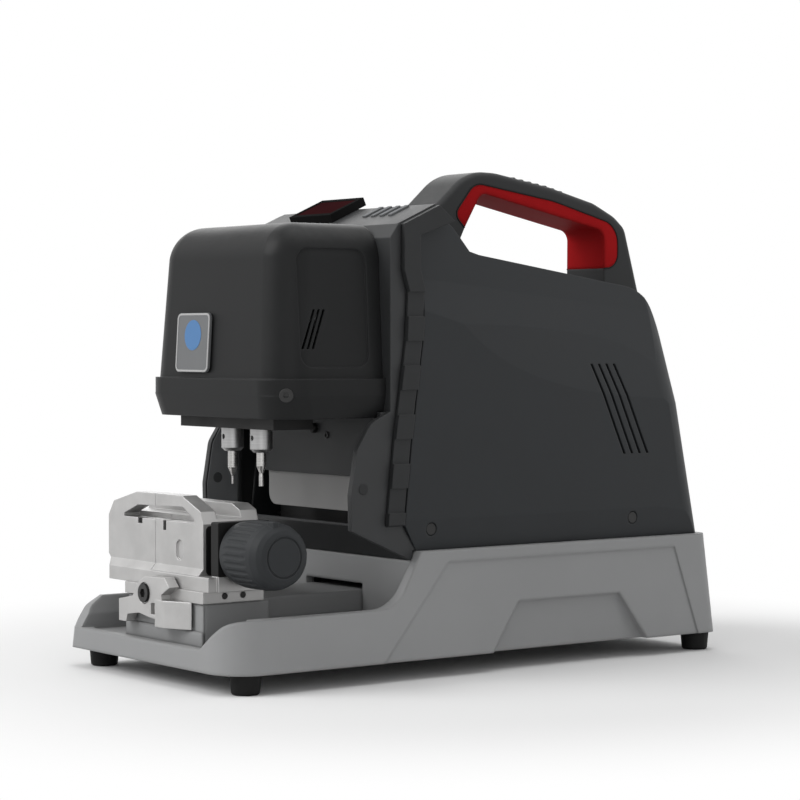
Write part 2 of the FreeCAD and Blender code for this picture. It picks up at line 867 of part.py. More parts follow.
def vent_slot(index, sign):
    """One slanted slot through a side cover."""
    top = S.vent_top
    low = top - S.vent_length
    start = HOUSE_REAR - S.vent_from_rear + S.vent_pitch * index
    outline = [(start, top), (start + S.vent_width, top), (start + S.vent_lean + S.vent_width, low),
               (start + S.vent_lean, low)]
    across = both_sides(S.rear_shoulder_half_width - 20, HALF_WIDTH + 5, sign)
    return prism("X", outline, across[0], across[1])


def cover_screw_places():
    """Side cover screws, as (y, z)."""
    height = SEAM + 13
    return [(COLUMN + 13, height), (HOUSE_REAR - 64, height)]


def cover_screw_start(sign, depth):
    """Where a hole of some depth starts so that it comes out of the side."""
    if sign > 0:
        return S.housing_half_width - depth
    return -S.housing_half_width + depth - 12


def make_cover_screws():
    """Flat-headed screws in the side covers and the head cover, each a separate solid."""
    screws = []
    face = S.housing_foot_half_width + 1.0
    for y, z in cover_screw_places():
        for sign in (1, -1):
            shank = both_sides(face - 7, face - 1, sign)
            head = both_sides(face - 1.2, face - 0.1, sign)
            screws.append(joined(rod("X", (shank[0], y, z), 2.0, 6), rod("X", (head[0], y, z), 3.6, 1.1)))
    node(together(*screws), "cover_screws")


# Trim strips and front cover

def shifted(points, step):
    """A list of (y, z) moved along Y."""
    return [(y + step, z) for y, z in points]


def strip_outline():
    """Side outline of a trim strip between the front cover and a side cover."""
    rear = shifted(front_edge()[1:], -S.strip_gap)
    front = shifted(front_edge()[1:], -S.strip_width)
    top = [(COLUMN + 30.3, S.housing_top + 9), (COLUMN + S.hood_peak_setback, S.hood_peak_height - 1),
           (front[-1][0], S.hood_front_height)]
    return [*rear, *top, *reversed(front)]


def make_strips():
    for sign, label in ((1, "right_trim_strip"), (-1, "left_trim_strip")):
        outer = S.housing_half_width + S.strip_proud
        across = both_sides(outer - S.strip_thickness, outer, sign)
        strip = prism("X", strip_outline(), across[0], across[1])
        notches = []
        for index in range(5):
            low = SEAM + 24 + S.notch_height * 2 * index
            cut = both_sides(outer - S.notch_depth, outer + 5, sign)
            notches.append(block(cut, (COLUMN - 30, COLUMN + 30), (low, low + S.notch_height)))
        node(minus(strip, *notches), label)


def cheek_outline():
    """Side outline of a cheek plate, which carries on up as the edge beside the head."""
    reach = COLUMN - S.cheek_reach
    behind = shifted(front_edge()[2:], -S.strip_width - S.slide_clearance)
    strip_foot = SEAM + 16.5 - S.slide_clearance
    return [
        (COLUMN + 1.9, SEAM + S.slide_clearance),
        (COLUMN - 8.1, strip_foot),
        (COLUMN - 7.6 - S.strip_width - S.slide_clearance, strip_foot),
        *behind,
        (behind[-1][0], S.hood_front_height),
        (COLUMN - 11, S.hood_front_height),
        (HEAD_BACK, S.housing_top - 2),
        (HEAD_BACK, S.head_bottom + 4),
        (reach + 15, S.head_bottom - 3),
        (reach + 4.5, S.chin_height + 49),
        (reach, S.chin_height + 22),
        (reach + 0.5, S.chin_height),
        (COLUMN - 1, WALL_TOP + S.slide_clearance),
        (COLUMN - S.slide_clearance, WALL_TOP + S.slide_clearance),
        (COLUMN - S.slide_clearance, SEAM + S.slide_clearance),
    ]


def make_front_cover():
    wall = S.cover_wall
    low = WALL_TOP + S.slide_clearance
    inner_half = S.front_half_width - S.cheek_thickness
    lower = [
        (COLUMN + 4, low),
        (COLUMN - 1, low),
        (BACK_WALL, CHIN_TOP),
        (BACK_WALL, LEDGE),
        (HEAD_BACK, LEDGE),
        (HEAD_BACK, S.housing_top - 2),
        (HEAD_BACK + wall, S.housing_top - 2),
        (HEAD_BACK + wall, LEDGE - wall),
        (BACK_WALL + wall, LEDGE - wall),
        (BACK_WALL + wall, CHIN_TOP + 1.3),
        (COLUMN + 1, low + wall),
        (COLUMN + 4, low + wall),
    ]
    front = COLUMN - 11
    peak = COLUMN + S.hood_peak_setback
    tail = (COLUMN + 31, S.housing_top + 11.2)
    hood = [
        (HEAD_BACK, S.housing_top - 10),
        (HEAD_BACK, S.housing_top - 2),
        (front, S.hood_front_height),
        (peak, S.hood_peak_height),
        tail,
        (tail[0], tail[1] - 1),
        (peak, S.hood_peak_height - wall - 0.5),
        (front + 1.2, S.hood_front_height - wall),
        (HEAD_BACK + wall, S.housing_top - 3.5),
        (HEAD_BACK + wall, S.housing_top - 10),
    ]
    strip_inner = S.housing_half_width + S.strip_proud - S.strip_thickness
    hood_half = strip_inner - S.slide_clearance
    shell = joined(
        prism("X", lower, -inner_half - 0.05, inner_half + 0.05),
        prism("X", hood, -hood_half, hood_half),
        prism("X", cheek_outline(), inner_half, S.front_half_width, [((12, 13, 14), 10.0)]),
        prism("X", cheek_outline(), -S.front_half_width, -inner_half, [((12, 13, 14), 10.0)]),
    )
    through = (BACK_WALL - 5, BACK_WALL + wall + 5)
    window_low = CHIN_TOP + 1.5
    window_top = window_low + S.window_height - 1.5
    window = block((-inner_half + 1, inner_half - 1), through, (window_low, window_top))
    slot = block((-inner_half + 1, -S.guard_left), through, (window_low, window_low + S.slot_height))
    neck = block((-S.z_frame_half - 2, S.z_frame_half + 2), (HEAD_BACK - 5, HEAD_BACK + wall + 5),
                 (S.z_frame_low + 10, S.z_frame_top + 2))
    node(minus(shell, window, slot, neck), "front_cover")
    guard_low = window_top - S.guard_height + 1
    guard_top = guard_low + S.guard_height + 4
    guard = [(-S.guard_left, guard_low), (inner_half - 2, guard_low), (inner_half - 2, guard_top),
             (-S.guard_left, guard_top)]
    node(prism("Y", guard, BACK_WALL + wall, BACK_WALL + wall + S.guard_thickness, [((0,), S.guard_radius)]),
         "chip_guard")


# Control panel on the hood

def on_hood(x, along, rise, size):
    """A box lying on the sloped control panel: its left edge, its distance up the slope, its lift."""
    front, peak = COLUMN - 11, COLUMN + S.hood_peak_setback
    run = peak.value - front.value
    climb = S.hood_peak_height.value - S.hood_front_height.value
    slope = math.atan2(climb, run)
    box = doc.addObject("Part::Box", "PanelBox")
    for prop, length in zip(("Length", "Width", "Height"), size):
        bind(box, prop, length)
    turn = FreeCAD.Rotation(FreeCAD.Vector(1, 0, 0), math.degrees(slope))
    box.Placement = FreeCAD.Placement(FreeCAD.Vector(), turn)
    away = plain(along) * math.cos(slope) - plain(rise) * math.sin(slope)
    lift = plain(along) * math.sin(slope) + plain(rise) * math.cos(slope)
    put_at(box, x, front + away, S.hood_front_height + lift)
    return box


def make_control_panel():
    left = S.bezel_from_middle - S.bezel_width / 2
    rim = 3.0
    pocket = (S.bezel_width - 2 * rim, S.bezel_depth - 2 * rim, S.bezel_rise)
    start = S.bezel_from_front
    bezel = on_hood(left, start, 0, (S.bezel_width, S.bezel_depth, S.bezel_rise))
    node(minus(bezel, on_hood(left + rim, start + rim, 1.5, pocket)), "status_bezel")
    node(on_hood(left + rim, start + rim, 1.5, (pocket[0], pocket[1], S.bezel_rise - 2)), "status_lens")
    bars = [on_hood(S.bar_left + S.bar_pitch * index, 15.5, 0, (S.bar_width, S.bar_depth, S.bar_rise))
            for index in range(int(plain(S.bar_count)))]
    node(together(*bars), "light_bars")


# Head cover

def head_solid(narrower, top_drop, top_radius, low):
    """The drafted upper part of the head, less a skin on the front and sides."""
    half = S.head_half_width - narrower
    front = HEAD_FRONT + narrower
    corners = [(-half, front), (half, front), (half, HEAD_BACK + ABOVE), (-half, HEAD_BACK + ABOVE)]
    body = prism("Z", corners, low, S.head_top - top_drop,
                 [((0, 1), S.head_corner_radius - narrower)], taper=S.head_draft)
    return rounded_top(body, S.head_top - top_drop, top_radius)


def make_head_cover():
    wall = S.head_wall
    skirt_top = S.head_bottom + S.skirt_high
    skirt_mid = S.head_bottom + S.skirt_low
    half = S.head_half_width + S.skirt_proud
    front = HEAD_FRONT - S.skirt_proud
    corners = [(-half, front), (half, front), (half, HEAD_BACK + ABOVE), (-half, HEAD_BACK + ABOVE)]
    rounds = [((0, 1), S.head_corner_radius + S.skirt_proud)]
    skirt = prism("Z", corners, skirt_mid, skirt_top, rounds)
    skirt_foot = prism("Z", corners, S.head_bottom, skirt_mid, rounds, taper=S.skirt_draft, downward=True)
    upper = head_solid(as_size(0), as_size(0), S.head_top_radius, skirt_top)
    inner_half = S.head_half_width - wall - 1
    inner_front = HEAD_FRONT + wall + 1
    inner = [(-inner_half, inner_front), (inner_half, inner_front),
             (inner_half, HEAD_BACK + 2 * ABOVE), (-inner_half, HEAD_BACK + 2 * ABOVE)]
    low_room = prism("Z", inner, S.head_bottom - ABOVE, skirt_top, [((0, 1), S.head_corner_radius - wall)])
    high_room = head_solid(wall, wall, S.head_top_radius - wall, skirt_top)
    slack = S.slide_clearance
    behind = block((-HALF_WIDTH, HALF_WIDTH), (HEAD_BACK, HEAD_BACK + 3 * ABOVE), (0, S.handle_top))
    over_ledge = block((-HALF_WIDTH, HALF_WIDTH), (BACK_WALL - slack, HEAD_BACK + ABOVE), (0, LEDGE + slack))

    def side_recess(sign):
        outline = [(HEAD_FRONT + 16, skirt_top + 7), (HEAD_BACK - 10, skirt_top + 7),
                   (HEAD_BACK - 10, S.head_top - 16), (HEAD_FRONT + 16, S.head_top - 16)]
        across = both_sides(S.head_half_width - ABOVE, S.head_half_width + ABOVE, sign)
        panel = prism("X", outline, across[0], across[1], [((0, 1, 2, 3), 8.0)])
        return minus(panel, head_solid(as_size(1.2), as_size(1.2), S.head_top_radius - 1.2, skirt_top - 1))

    def side_slots(sign):
        across = both_sides(S.head_half_width - ABOVE, S.head_half_width + ABOVE, sign)
        slots = []
        for index in range(3):
            start = HEAD_FRONT + 17 + S.head_slot_pitch * index
            end = start + S.head_slot_width
            outline = [(start, skirt_top + 18), (end, skirt_top + 18), (end + S.head_slot_lean, skirt_top + 42),
                       (start + S.head_slot_lean, skirt_top + 42)]
            slots.append(prism("X", outline, across[0], across[1]))
        return together(*slots)

    cover = minus(joined(skirt_foot, skirt, upper), low_room, high_room, behind, over_ledge,
                  *mirrored_pair(side_recess), *mirrored_pair(side_slots))
    node(cover, "head_cover")

    plate_half = inner_half - slack
    plate_front = inner_front + slack
    plate = prism("Z", [(-plate_half, plate_front), (plate_half, plate_front),
                        (plate_half, BACK_WALL - slack), (-plate_half, BACK_WALL - slack)],
                  S.head_bottom + 0.5, S.head_bottom + 0.5 + S.bottom_plate,
                  [((0, 1), S.head_corner_radius - wall)])
    opening = block((-S.block_half_width - 1, S.block_half_width + 1),
                    (BLOCK_FRONT - 1, BLOCK_BACK + 1), (S.head_bottom - 5, S.head_bottom + 9))
    node(minus(plate, opening), "head_bottom_plate")

    label = doc.addObject("Part::Box", "Label")
    bind(label, "Length", S.label_width)
    bind(label, "Width", S.label_thickness)
    bind(label, "Height", S.label_height)
    label.Placement = FreeCAD.Placement(
        FreeCAD.Vector(), FreeCAD.Rotation(FreeCAD.Vector(1, 0, 0), -plain(S.head_draft)))
    lean = (plain(S.label_low) - plain(skirt_top)) * math.tan(math.radians(plain(S.head_draft)))
    put_at(label, S.label_from_middle - S.label_width / 2, HEAD_FRONT + lean - S.label_thickness - 0.02,
           S.label_low)
    node(label, "label_plate")


# Rear connections

def make_rear_panel():
    slip = S.handle_slip
    half = S.rear_panel_width / 2 - slip
    low = S.rear_panel_low + slip
    high = S.rear_panel_low + S.rear_panel_height - slip
    out = HOUSE_REAR - 0.3
    plate = block((-half, half), (out - S.rear_panel_thickness, out), (low, high))
    middle = S.rear_panel_low + S.rear_panel_height / 2
    through = (out - ABOVE, out + ABOVE)
    inlet_x, switch_x = as_size(-22), as_size(22)
    inlet_hole = rod("Y", (inlet_x, out - ABOVE, middle), S.inlet_radius, 2 * ABOVE)
    switch_gap = S.slide_clearance
    switch_half, switch_tall = S.switch_width / 2, S.switch_height / 2
    switch_hole = block((switch_x - switch_half - switch_gap, switch_x + switch_half + switch_gap), through,
                        (middle - switch_tall - 1, middle + switch_tall + 1))
    pivot_y = out - 3
    pin = S.switch_pin_radius
    pin_half = switch_half + 2.5
    pin_hole = rod("X", (switch_x - pin_half - 0.5, pivot_y, middle), pin + S.running_clearance,
                   2 * pin_half + 1)
    node(minus(plate, inlet_hole, switch_hole, pin_hole), "rear_panel")
    flange = S.inlet_radius + 2
    barrel = S.inlet_radius - S.running_clearance
    inlet = [(0, 0), (barrel, 0), (barrel, 12.5), (flange, 12.5), (flange, 14), (S.socket_bore, 14),
             (S.socket_bore, 3), (0.9, 3), (0.9, 12), (0, 12)]
    node(turned("Y", (inlet_x, out - 12.5, middle), inlet), "power_inlet")
    rocker = [(pivot_y - 4, middle - switch_tall + 1.5), (pivot_y + 4.4, middle - switch_tall + 1),
              (pivot_y + 3.0, middle), (pivot_y + 1.6, middle + switch_tall - 1),
              (pivot_y - 4, middle + switch_tall - 1.5)]
    pins = rod("X", (switch_x - pin_half, pivot_y, middle), pin, 2 * pin_half)
    node(joined(prism("X", rocker, switch_x - switch_half, switch_x + switch_half), pins), "power_switch")


# Upright frame and electronics

def make_frame():
    back = COLUMN + S.cross_wall
    rear = back + S.frame_thickness
    plate = block((-S.frame_half_width, S.frame_half_width), (back, rear), (FLOOR, S.frame_top))
    gate_half = S.tunnel_width / 2 + 6
    gate = block((-gate_half, gate_half), (back - 1, rear + 1), (FLOOR - 1, FLOOR + S.tunnel_height + 4))
    node(minus(plate, gate), "column_frame")
    board_low, board_high, board_half = 95.0, 185.0, 55.0
    board_front = rear + 8
    board_rear = board_front + S.board_thickness
    board = block((-board_half, board_half), (board_front, board_rear), (board_low, board_high))
    posts = [rod("Y", (x, rear, z), 3.0, 8.0) for x in (-48, 48) for z in (board_low + 7, board_high - 7)]
    chips = [block((x, x + 16), (board_rear, board_rear + 2.5), (z, z + 16))
             for x, z in ((-40, 110), (-8, 140), (22, 118))]
    node(joined(board, *posts, *chips), "control_board")


# Clamp carriage: slide towards the column, then slide across

SCREW_Z = FLOOR + 12
X_DRIVE_Z = S.y_plate_low + 7.5
X_DRIVE_Y = CLAMP_FRONT + 22
PLATE_TOP = S.y_plate_low + S.y_plate_thickness
CARRIAGE_BACK = COLUMN + 35


def make_y_slide():
    slack = S.slide_clearance
    rail_half = S.rail_width / 2
    rail_top = FLOOR + S.rail_height
    rails = [block((x - rail_half, x + rail_half), (FRONT + S.tray_lip + 6, COLUMN + 75), (FLOOR, rail_top))
             for x in (-S.rail_offset, S.rail_offset)]
    node(together(*rails), "y_rails")
    blocks = []
    for x in (-S.rail_offset, S.rail_offset):
        for y in (CLAMP_FRONT + 9, COLUMN - 28):
            outer = block((x - rail_half - 4, x + rail_half + 4), (y, y + 26), (FLOOR + 3.5, S.y_plate_low))
            groove = block((x - rail_half - slack, x + rail_half + slack), (y - 1, y + 27),
                           (FLOOR, rail_top + slack))
            blocks.append(minus(outer, groove))
    node(together(*blocks), "y_blocks")
    half = S.carriage_half_width
    front = CLAMP_FRONT + 1.5
    top = S.table_low - slack
    length = (front, CARRIAGE_BACK)
    plate = block((-half, half), length, (S.y_plate_low, PLATE_TOP))
    skirts = [block(both_sides(half - S.carriage_skirt, half, sign), length, (S.y_plate_low, top))
              for sign in (1, -1)]
    lid = block((-half, half), (CLAMP_BACK + 3.5, CARRIAGE_BACK), (top - 3, top))
    well = block((-half + S.carriage_skirt, half - S.carriage_skirt), (X_DRIVE_Y - 6.5, X_DRIVE_Y + 6.5),
                 (S.y_plate_low - 1, PLATE_TOP + 1))
    apron_half, apron_length = S.apron_half_width, (front, CLAMP_BACK + 3.5)
    shelf = block((-apron_half, apron_half), apron_length, (S.y_plate_low, PLATE_TOP))
    apron_inner = apron_half - S.carriage_skirt
    aprons = [block(both_sides(apron_inner, apron_half, sign), apron_length, (FLOOR + 3, top))
              for sign in (1, -1)]
    node(minus(joined(plate, shelf, *skirts, *aprons, lid), well), "y_carriage")
    nut = block((-10, 10), (CARRIAGE_BACK, CARRIAGE_BACK + 12), (SCREW_Z - 8, PLATE_TOP))
    bore = rod("Y", (0, CARRIAGE_BACK - 1, SCREW_Z), S.screw_radius + S.running_clearance, 14)
    node(minus(nut, bore), "y_nut")
    screw_end = REAR - S.tub_wall - 61
    node(rod("Y", (0, CARRIAGE_BACK - 4, SCREW_Z), S.screw_radius, screw_end - CARRIAGE_BACK + 4), "y_screw")
    node(prism("Y", [(-12, FLOOR), (12, FLOOR), (12, FLOOR + 24), (-12, FLOOR + 24)],
               screw_end, screw_end + 30, [((0, 1, 2, 3), 3.0)]), "y_motor")


def make_x_slide():
    slack = S.slide_clearance
    reach = S.carriage_half_width - S.carriage_skirt - 0.5
    rail_high = PLATE_TOP + 5
    lines = [CLAMP_FRONT + 10, CLAMP_FRONT + 34]
    rails = [block((-reach, reach), (y - 4, y + 4), (PLATE_TOP, rail_high)) for y in lines]
    node(together(*rails), "x_rails")
    left = S.x_travel_left - reach + 2
    right = reach - S.x_travel_right
    shoes = []
    for y in lines:
        shoe = block((left, right), (y - 6.5, y + 6.5), (PLATE_TOP + 1, S.table_low))
        groove = block((left - 1, right + 1), (y - 4 - slack, y + 4 + slack), (PLATE_TOP, rail_high + slack))
        shoes.append(minus(shoe, groove))
    node(together(*shoes), "x_blocks")
    table = block((-45, CLAMP_SIDE), (TABLE_FRONT, CLAMP_BACK - 2), (S.table_low, TABLE_TOP))
    holes = [rod("X", (CLAMP_SIDE - 6, y, S.table_low + 4.2), 1.9, 8) for y in table_screw_lines()]
    node(minus(table, *holes), "x_table")
    heads = [rod("X", (CLAMP_SIDE - 5, y, S.table_low + 4.2), 1.8, 5.4) for y in table_screw_lines()]
    node(together(*heads), "table_screws")
    thread = 2.0
    nut_left = left + 10
    nut = block((nut_left, nut_left + 6), (X_DRIVE_Y - 4.5, X_DRIVE_Y + 4.5), (X_DRIVE_Z - 4, S.table_low))
    bore = rod("X", (nut_left - 1, X_DRIVE_Y, X_DRIVE_Z), S.running_clearance + thread, 8)
    node(minus(nut, bore), "x_nut")
    motor_end = -reach + 12
    node(rod("X", (motor_end, X_DRIVE_Y, X_DRIVE_Z), thread, reach - motor_end - 0.5), "x_screw")
    node(rod("X", (-reach, X_DRIVE_Y, X_DRIVE_Z), 5.5, 12), "x_motor")


def table_screw_lines():
    """Where the two screws in the table's side sit along Y."""
    return [CLAMP_FRONT + 14, CLAMP_FRONT + 27]


# Clamp

def clamp_block():
    """The clamp before it is split: its end outline and its front outline carried through each other."""
    low = TABLE_TOP
    flange = low + S.flange_height
    arch = S.clamp_arch_height
    face = CLAMP_FRONT + 4
    side_view = [(CLAMP_FRONT, low), (CLAMP_BACK, low), (CLAMP_BACK, arch - 5), (CLAMP_BACK - 12, arch - 5),
                 (CLAMP_BACK - 12, S.clamp_ledge_height), (face + S.clamp_wall, S.clamp_ledge_height),
                 (face + S.clamp_wall, arch), (face, arch), (face, flange + 4), (CLAMP_FRONT, flange - 0.5)]
    left, right = -S.clamp_left, S.clamp_right
    front_view = [(left + 7.5, low), (left + 7.5, flange - 0.5), (left, flange + 6.5), (left, arch - 16),
                  (left + 6.5, arch - 7), (left + 35, arch), (right - 24, arch), (right - 3, arch - 8.5),
                  (right, arch - 16), (right, flange), (S.clamp_flange_right, flange),
                  (S.clamp_flange_right, low)]
    whole = overlap(prism("X", side_view, left, S.clamp_flange_right),
                    prism("Y", front_view, CLAMP_FRONT, CLAMP_BACK))
    sill = S.clamp_ledge_height - 3
    window = [(left + 19, sill), (right - 10, sill), (right - 10, sill + 2.5), (right - 23, arch - 6.5),
              (left + 36, arch - 8), (left + 19, sill + 2)]
    key_window = prism("Y", window, face - 1, face + S.clamp_wall + 1)
    pockets = [block((x, x + width), (face - 1, face + S.clamp_wall + 1), (sill - depth, sill + 1))
               for x, width, depth in ((left + 36, 5.5, 3.5), (left + 66, 3.8, 6.0))]
    mark_x, mark_z = left + 85.5, sill - 17
    oval = [(mark_x - 4.4, mark_z - 6.3), (mark_x + 4.4, mark_z - 6.3), (mark_x + 4.4, mark_z + 6.3),
            (mark_x - 4.4, mark_z + 6.3)]
    thumb_mark = prism("Y", oval, face - 1, face + 1.2, [((0, 1, 2, 3), 4.3)])
    return minus(whole, key_window, *pockets, thumb_mark)


def make_clamp():
    flange = TABLE_TOP + S.flange_height
    split = -S.jaw_split
    beyond = S.clamp_flange_right + ABOVE
    whole = clamp_block()
    depth = (CLAMP_FRONT - 1, CLAMP_BACK + 1)
    over = S.clamp_arch_height + 5
    gap = block((split - S.jaw_gap / 2, beyond), depth, (flange, over))
    plate_left = S.clamp_right + S.jaw_travel + 0.5
    plate_right = plate_left + S.end_plate
    end_plate = block((plate_left, plate_right), (CLAMP_FRONT + 6, CLAMP_BACK - 2),
                      (TABLE_TOP, S.knob_height + 18))
    thread = S.clamp_screw_radius
    slack = S.running_clearance
    bore_end = split + 4
    bore = rod("X", (bore_end, KNOB_Y, S.knob_height), thread + slack, beyond - bore_end)
    node(minus(joined(minus(whole, gap), end_plate), bore), "clamp_body")
    jaw_room = block((split + S.jaw_gap / 2, S.clamp_right + 1), depth, (flange + slack, over))
    node(minus(overlap(whole, jaw_room), bore), "clamp_jaw")
    knob_start = plate_right + 0.5
    screw_end = bore_end + S.jaw_travel + 1
    node(rod("X", (screw_end, KNOB_Y, S.knob_height), thread, knob_start - screw_end), "clamp_screw")
    make_knob(knob_start)


def make_knob(start):
    radius, length = S.knob_radius, S.knob_length
    profile = [(0, 0), (radius - 4, 0), (radius - 1.2, 2.5), (radius, 11), (radius, length - 15),
               (radius - 0.7, length - 8), (radius - 2.4, length - 3.2), (radius - 4.6, length - 0.8),
               (radius - 7, length), (12.4, length), (12.4, length - 0.8), (11.2, length - 0.8),
               (11.2, length), (0, length)]
    pointer = block((start + length - 9, start + length - 3), (KNOB_Y - 6, KNOB_Y - 2),
                    (S.knob_height + 12, S.knob_height + radius + 0.4))
    body = joined(turned("X", (start, KNOB_Y, S.knob_height), profile), pointer)
    count = int(plain(S.flute_count))
    flutes = []
    for index in range(count):
        angle = 2 * math.pi * index / count
        reach = radius + S.flute_radius * 0.6
        place = (start - 1, KNOB_Y + reach * math.cos(angle), S.knob_height + reach * math.sin(angle))
        flutes.append(rod("X", place, S.flute_radius, length - 11))
    node(minus(body, together(*flutes)), "clamp_knob")


def make_lock():
    front, back = TABLE_FRONT - 7, TABLE_FRONT
    boss_x, boss_z = as_size(-10.2), S.table_low + 2.8
    low, rail = S.y_plate_low - 2.5, S.table_low
    outline = [(-40.5, low), (-32, low), (-30.5, low + 4.7), (-16.6, low + 6.7), (-4.3, low + 4.9),
               (4, low + 4.3), (12, low), (16, low), (16, rail), (10, rail), (9.3, rail + 3),
               (19, rail + 8.3), (13.4, rail + 13.8), (-9.6, rail + 13), (-16.5, rail + 9.5),
               (-24, rail), (-40.5, rail - 3)]
    plate = prism("Y", outline, front, back)
    foot = prism("Z", [(4, front - 1), (13.7, front - 1), (33.4, back), (4, back)], low, rail)
    bore = rod("Y", (boss_x, front - 5, boss_z), 3 + S.running_clearance, ABOVE)
    head_room = rod("Y", (boss_x, front - 5, boss_z), S.lock_bolt_radius - 0.4, 7)
    chip_pocket = block((-2.5, 3.5), (front - 1, front + 3), (low + 7, low + 14))
    node(minus(joined(plate, foot), bore, head_room, chip_pocket), "lock_bracket")
    head = S.lock_bolt_radius - 1.4
    bolt = joined(rod("Y", (boss_x, front - 1.2, boss_z), head, 3.1),
                  rod("Y", (boss_x, front + 1.8, boss_z), 3.0, 5))
    turns = [math.pi * index / 3 for index in range(6)]
    hexagon = [(boss_x + 3.1 * math.cos(turn), boss_z + 3.1 * math.sin(turn)) for turn in turns]
    node(minus(bolt, prism("Y", hexagon, front - 2, front + 0.8)), "lock_bolt")


# Head slide and spindle

BLOCK_FRONT = SPINDLE_Y - S.block_depth / 2 - 1
BLOCK_BACK = BLOCK_FRONT + S.block_depth
BLOCK_TOP = S.block_low + S.block_height
Z_FACE = COLUMN - 29
ROD_Y = Z_FACE - S.z_rod_gap
LUG_LOW = S.z_frame_low + 22
LUG_TOP = LUG_LOW + 28


def make_z_slide():
    half = S.z_frame_half
    low, top = S.z_frame_low, S.z_frame_top
    back_plate = block((-half, half), (Z_FACE, Z_FACE + 6.5), (low, top))
    neck = block((-half, half), (Z_FACE + 6.5, COLUMN + S.cross_wall), (low + 12, top))
    lug_front = ROD_Y - S.z_rod_gap
    lugs = [block((-half, half), (lug_front, Z_FACE), (z, z + S.z_lug)) for z in (low, top - S.z_lug)]
    slack = S.running_clearance
    sides = (-S.z_rod_offset, S.z_rod_offset)
    holes = [rod("Z", (x, ROD_Y, low - 1), S.z_rod_radius + slack, top - low + 2) for x in sides]
    screw_hole = rod("Z", (0, ROD_Y, low - 1), S.screw_radius + slack, top - low + 2)
    node(minus(joined(back_plate, neck, *lugs), *holes, screw_hole), "z_frame")
    node(together(*[rod("Z", (x, ROD_Y, low), S.z_rod_radius, top - low) for x in sides]), "z_rods")
    node(rod("Z", (0, ROD_Y, low), S.screw_radius, top - low), "z_screw")
    side = 17.4
    motor = [(-side, ROD_Y - side), (side, ROD_Y - side), (side, ROD_Y + side), (-side, ROD_Y + side)]
    node(prism("Z", motor, top, top + 20, [((0, 1, 2, 3), 4.0)]), "z_motor")


def make_spindle_block():
    half = S.block_half_width
    slack = S.running_clearance
    main = block((-half, half), (BLOCK_FRONT, BLOCK_BACK), (S.block_low, BLOCK_TOP))
    lug = block((-half + 6, half - 6), (BLOCK_BACK, Z_FACE - 1), (LUG_LOW, LUG_TOP))
    bores = [rod("Z", (x, ROD_Y, LUG_LOW - 1), S.z_rod_radius + slack, 30)
             for x in (-S.z_rod_offset, S.z_rod_offset)]
    nut_radius = 7.0
    nut_bore = rod("Z", (0, ROD_Y, LUG_LOW - 1), nut_radius, 30)
    axis = (S.spindle_offset, SPINDLE_Y)
    shaft_room = rod("Z", (*axis, S.block_low - 1), S.shaft_radius + 2, S.block_height + 2)
    pockets = [rod("Z", (*axis, z), S.bearing_radius, S.bearing_width) for z in
               (S.block_low, BLOCK_TOP - S.bearing_width)]
    motor_low = S.block_low + 13
    motor_pocket = rod("Z", (-S.motor_offset, SPINDLE_Y, motor_low), S.motor_radius, S.block_height)
    node(minus(joined(main, lug), *bores, nut_bore, shaft_room, *pockets, motor_pocket), "spindle_block")
    nut = minus(rod("Z", (0, ROD_Y, LUG_LOW), nut_radius, 28),
                rod("Z", (0, ROD_Y, LUG_LOW - 1), S.screw_radius + slack, 30))
    node(nut, "z_nut")
    rings = [minus(rod("Z", (*axis, z), S.bearing_radius, S.bearing_width),
                   rod("Z", (*axis, z - 1), S.shaft_radius + slack, S.bearing_width + 2))
             for z in (S.block_low, BLOCK_TOP - S.bearing_width)]
    node(together(*rings), "spindle_bearings")
    motor_height = BLOCK_TOP - motor_low - 0.5
    node(rod("Z", (-S.motor_offset, SPINDLE_Y, motor_low), S.motor_radius, motor_height), "spindle_motor")
    make_belt_drive(axis)
    make_tools(axis)


def make_belt_drive(axis):
    low = BLOCK_TOP + 2
    flange = S.pulley_radius + 2.2

    def pulley(start, shaft):
        base = low - start
        end = base + S.pulley_width
        return [(0, 0), (shaft, 0), (shaft, base), (flange, base), (flange, base + 1.5),
                (S.pulley_radius, base + 1.5), (S.pulley_radius, end - 1.5), (flange, end - 1.5),
                (flange, end), (0, end)]

    shaft_low = S.block_low - S.slide_clearance
    node(turned("Z", (*axis, shaft_low), pulley(shaft_low, S.shaft_radius)), "spindle_shaft")
    motor_top = BLOCK_TOP - 0.4
    node(turned("Z", (-S.motor_offset, SPINDLE_Y, motor_top), pulley(motor_top, 2.0)), "motor_shaft")

    def loop(radius, start, height):
        ends = [rod("Z", (x, SPINDLE_Y, start), radius, height) for x in (-S.motor_offset, S.spindle_offset)]
        run = block((-S.motor_offset, S.spindle_offset), (SPINDLE_Y - radius, SPINDLE_Y + radius),
                    (start, start + height))
        return joined(*ends, run)

    inner = S.pulley_radius + S.running_clearance
    belt_low = low + 2
    belt_height = S.pulley_width - 4
    outside = loop(inner + S.belt_thickness, belt_low, belt_height)
    node(minus(outside, loop(inner, belt_low - 1, belt_height + 2)), "drive_belt")


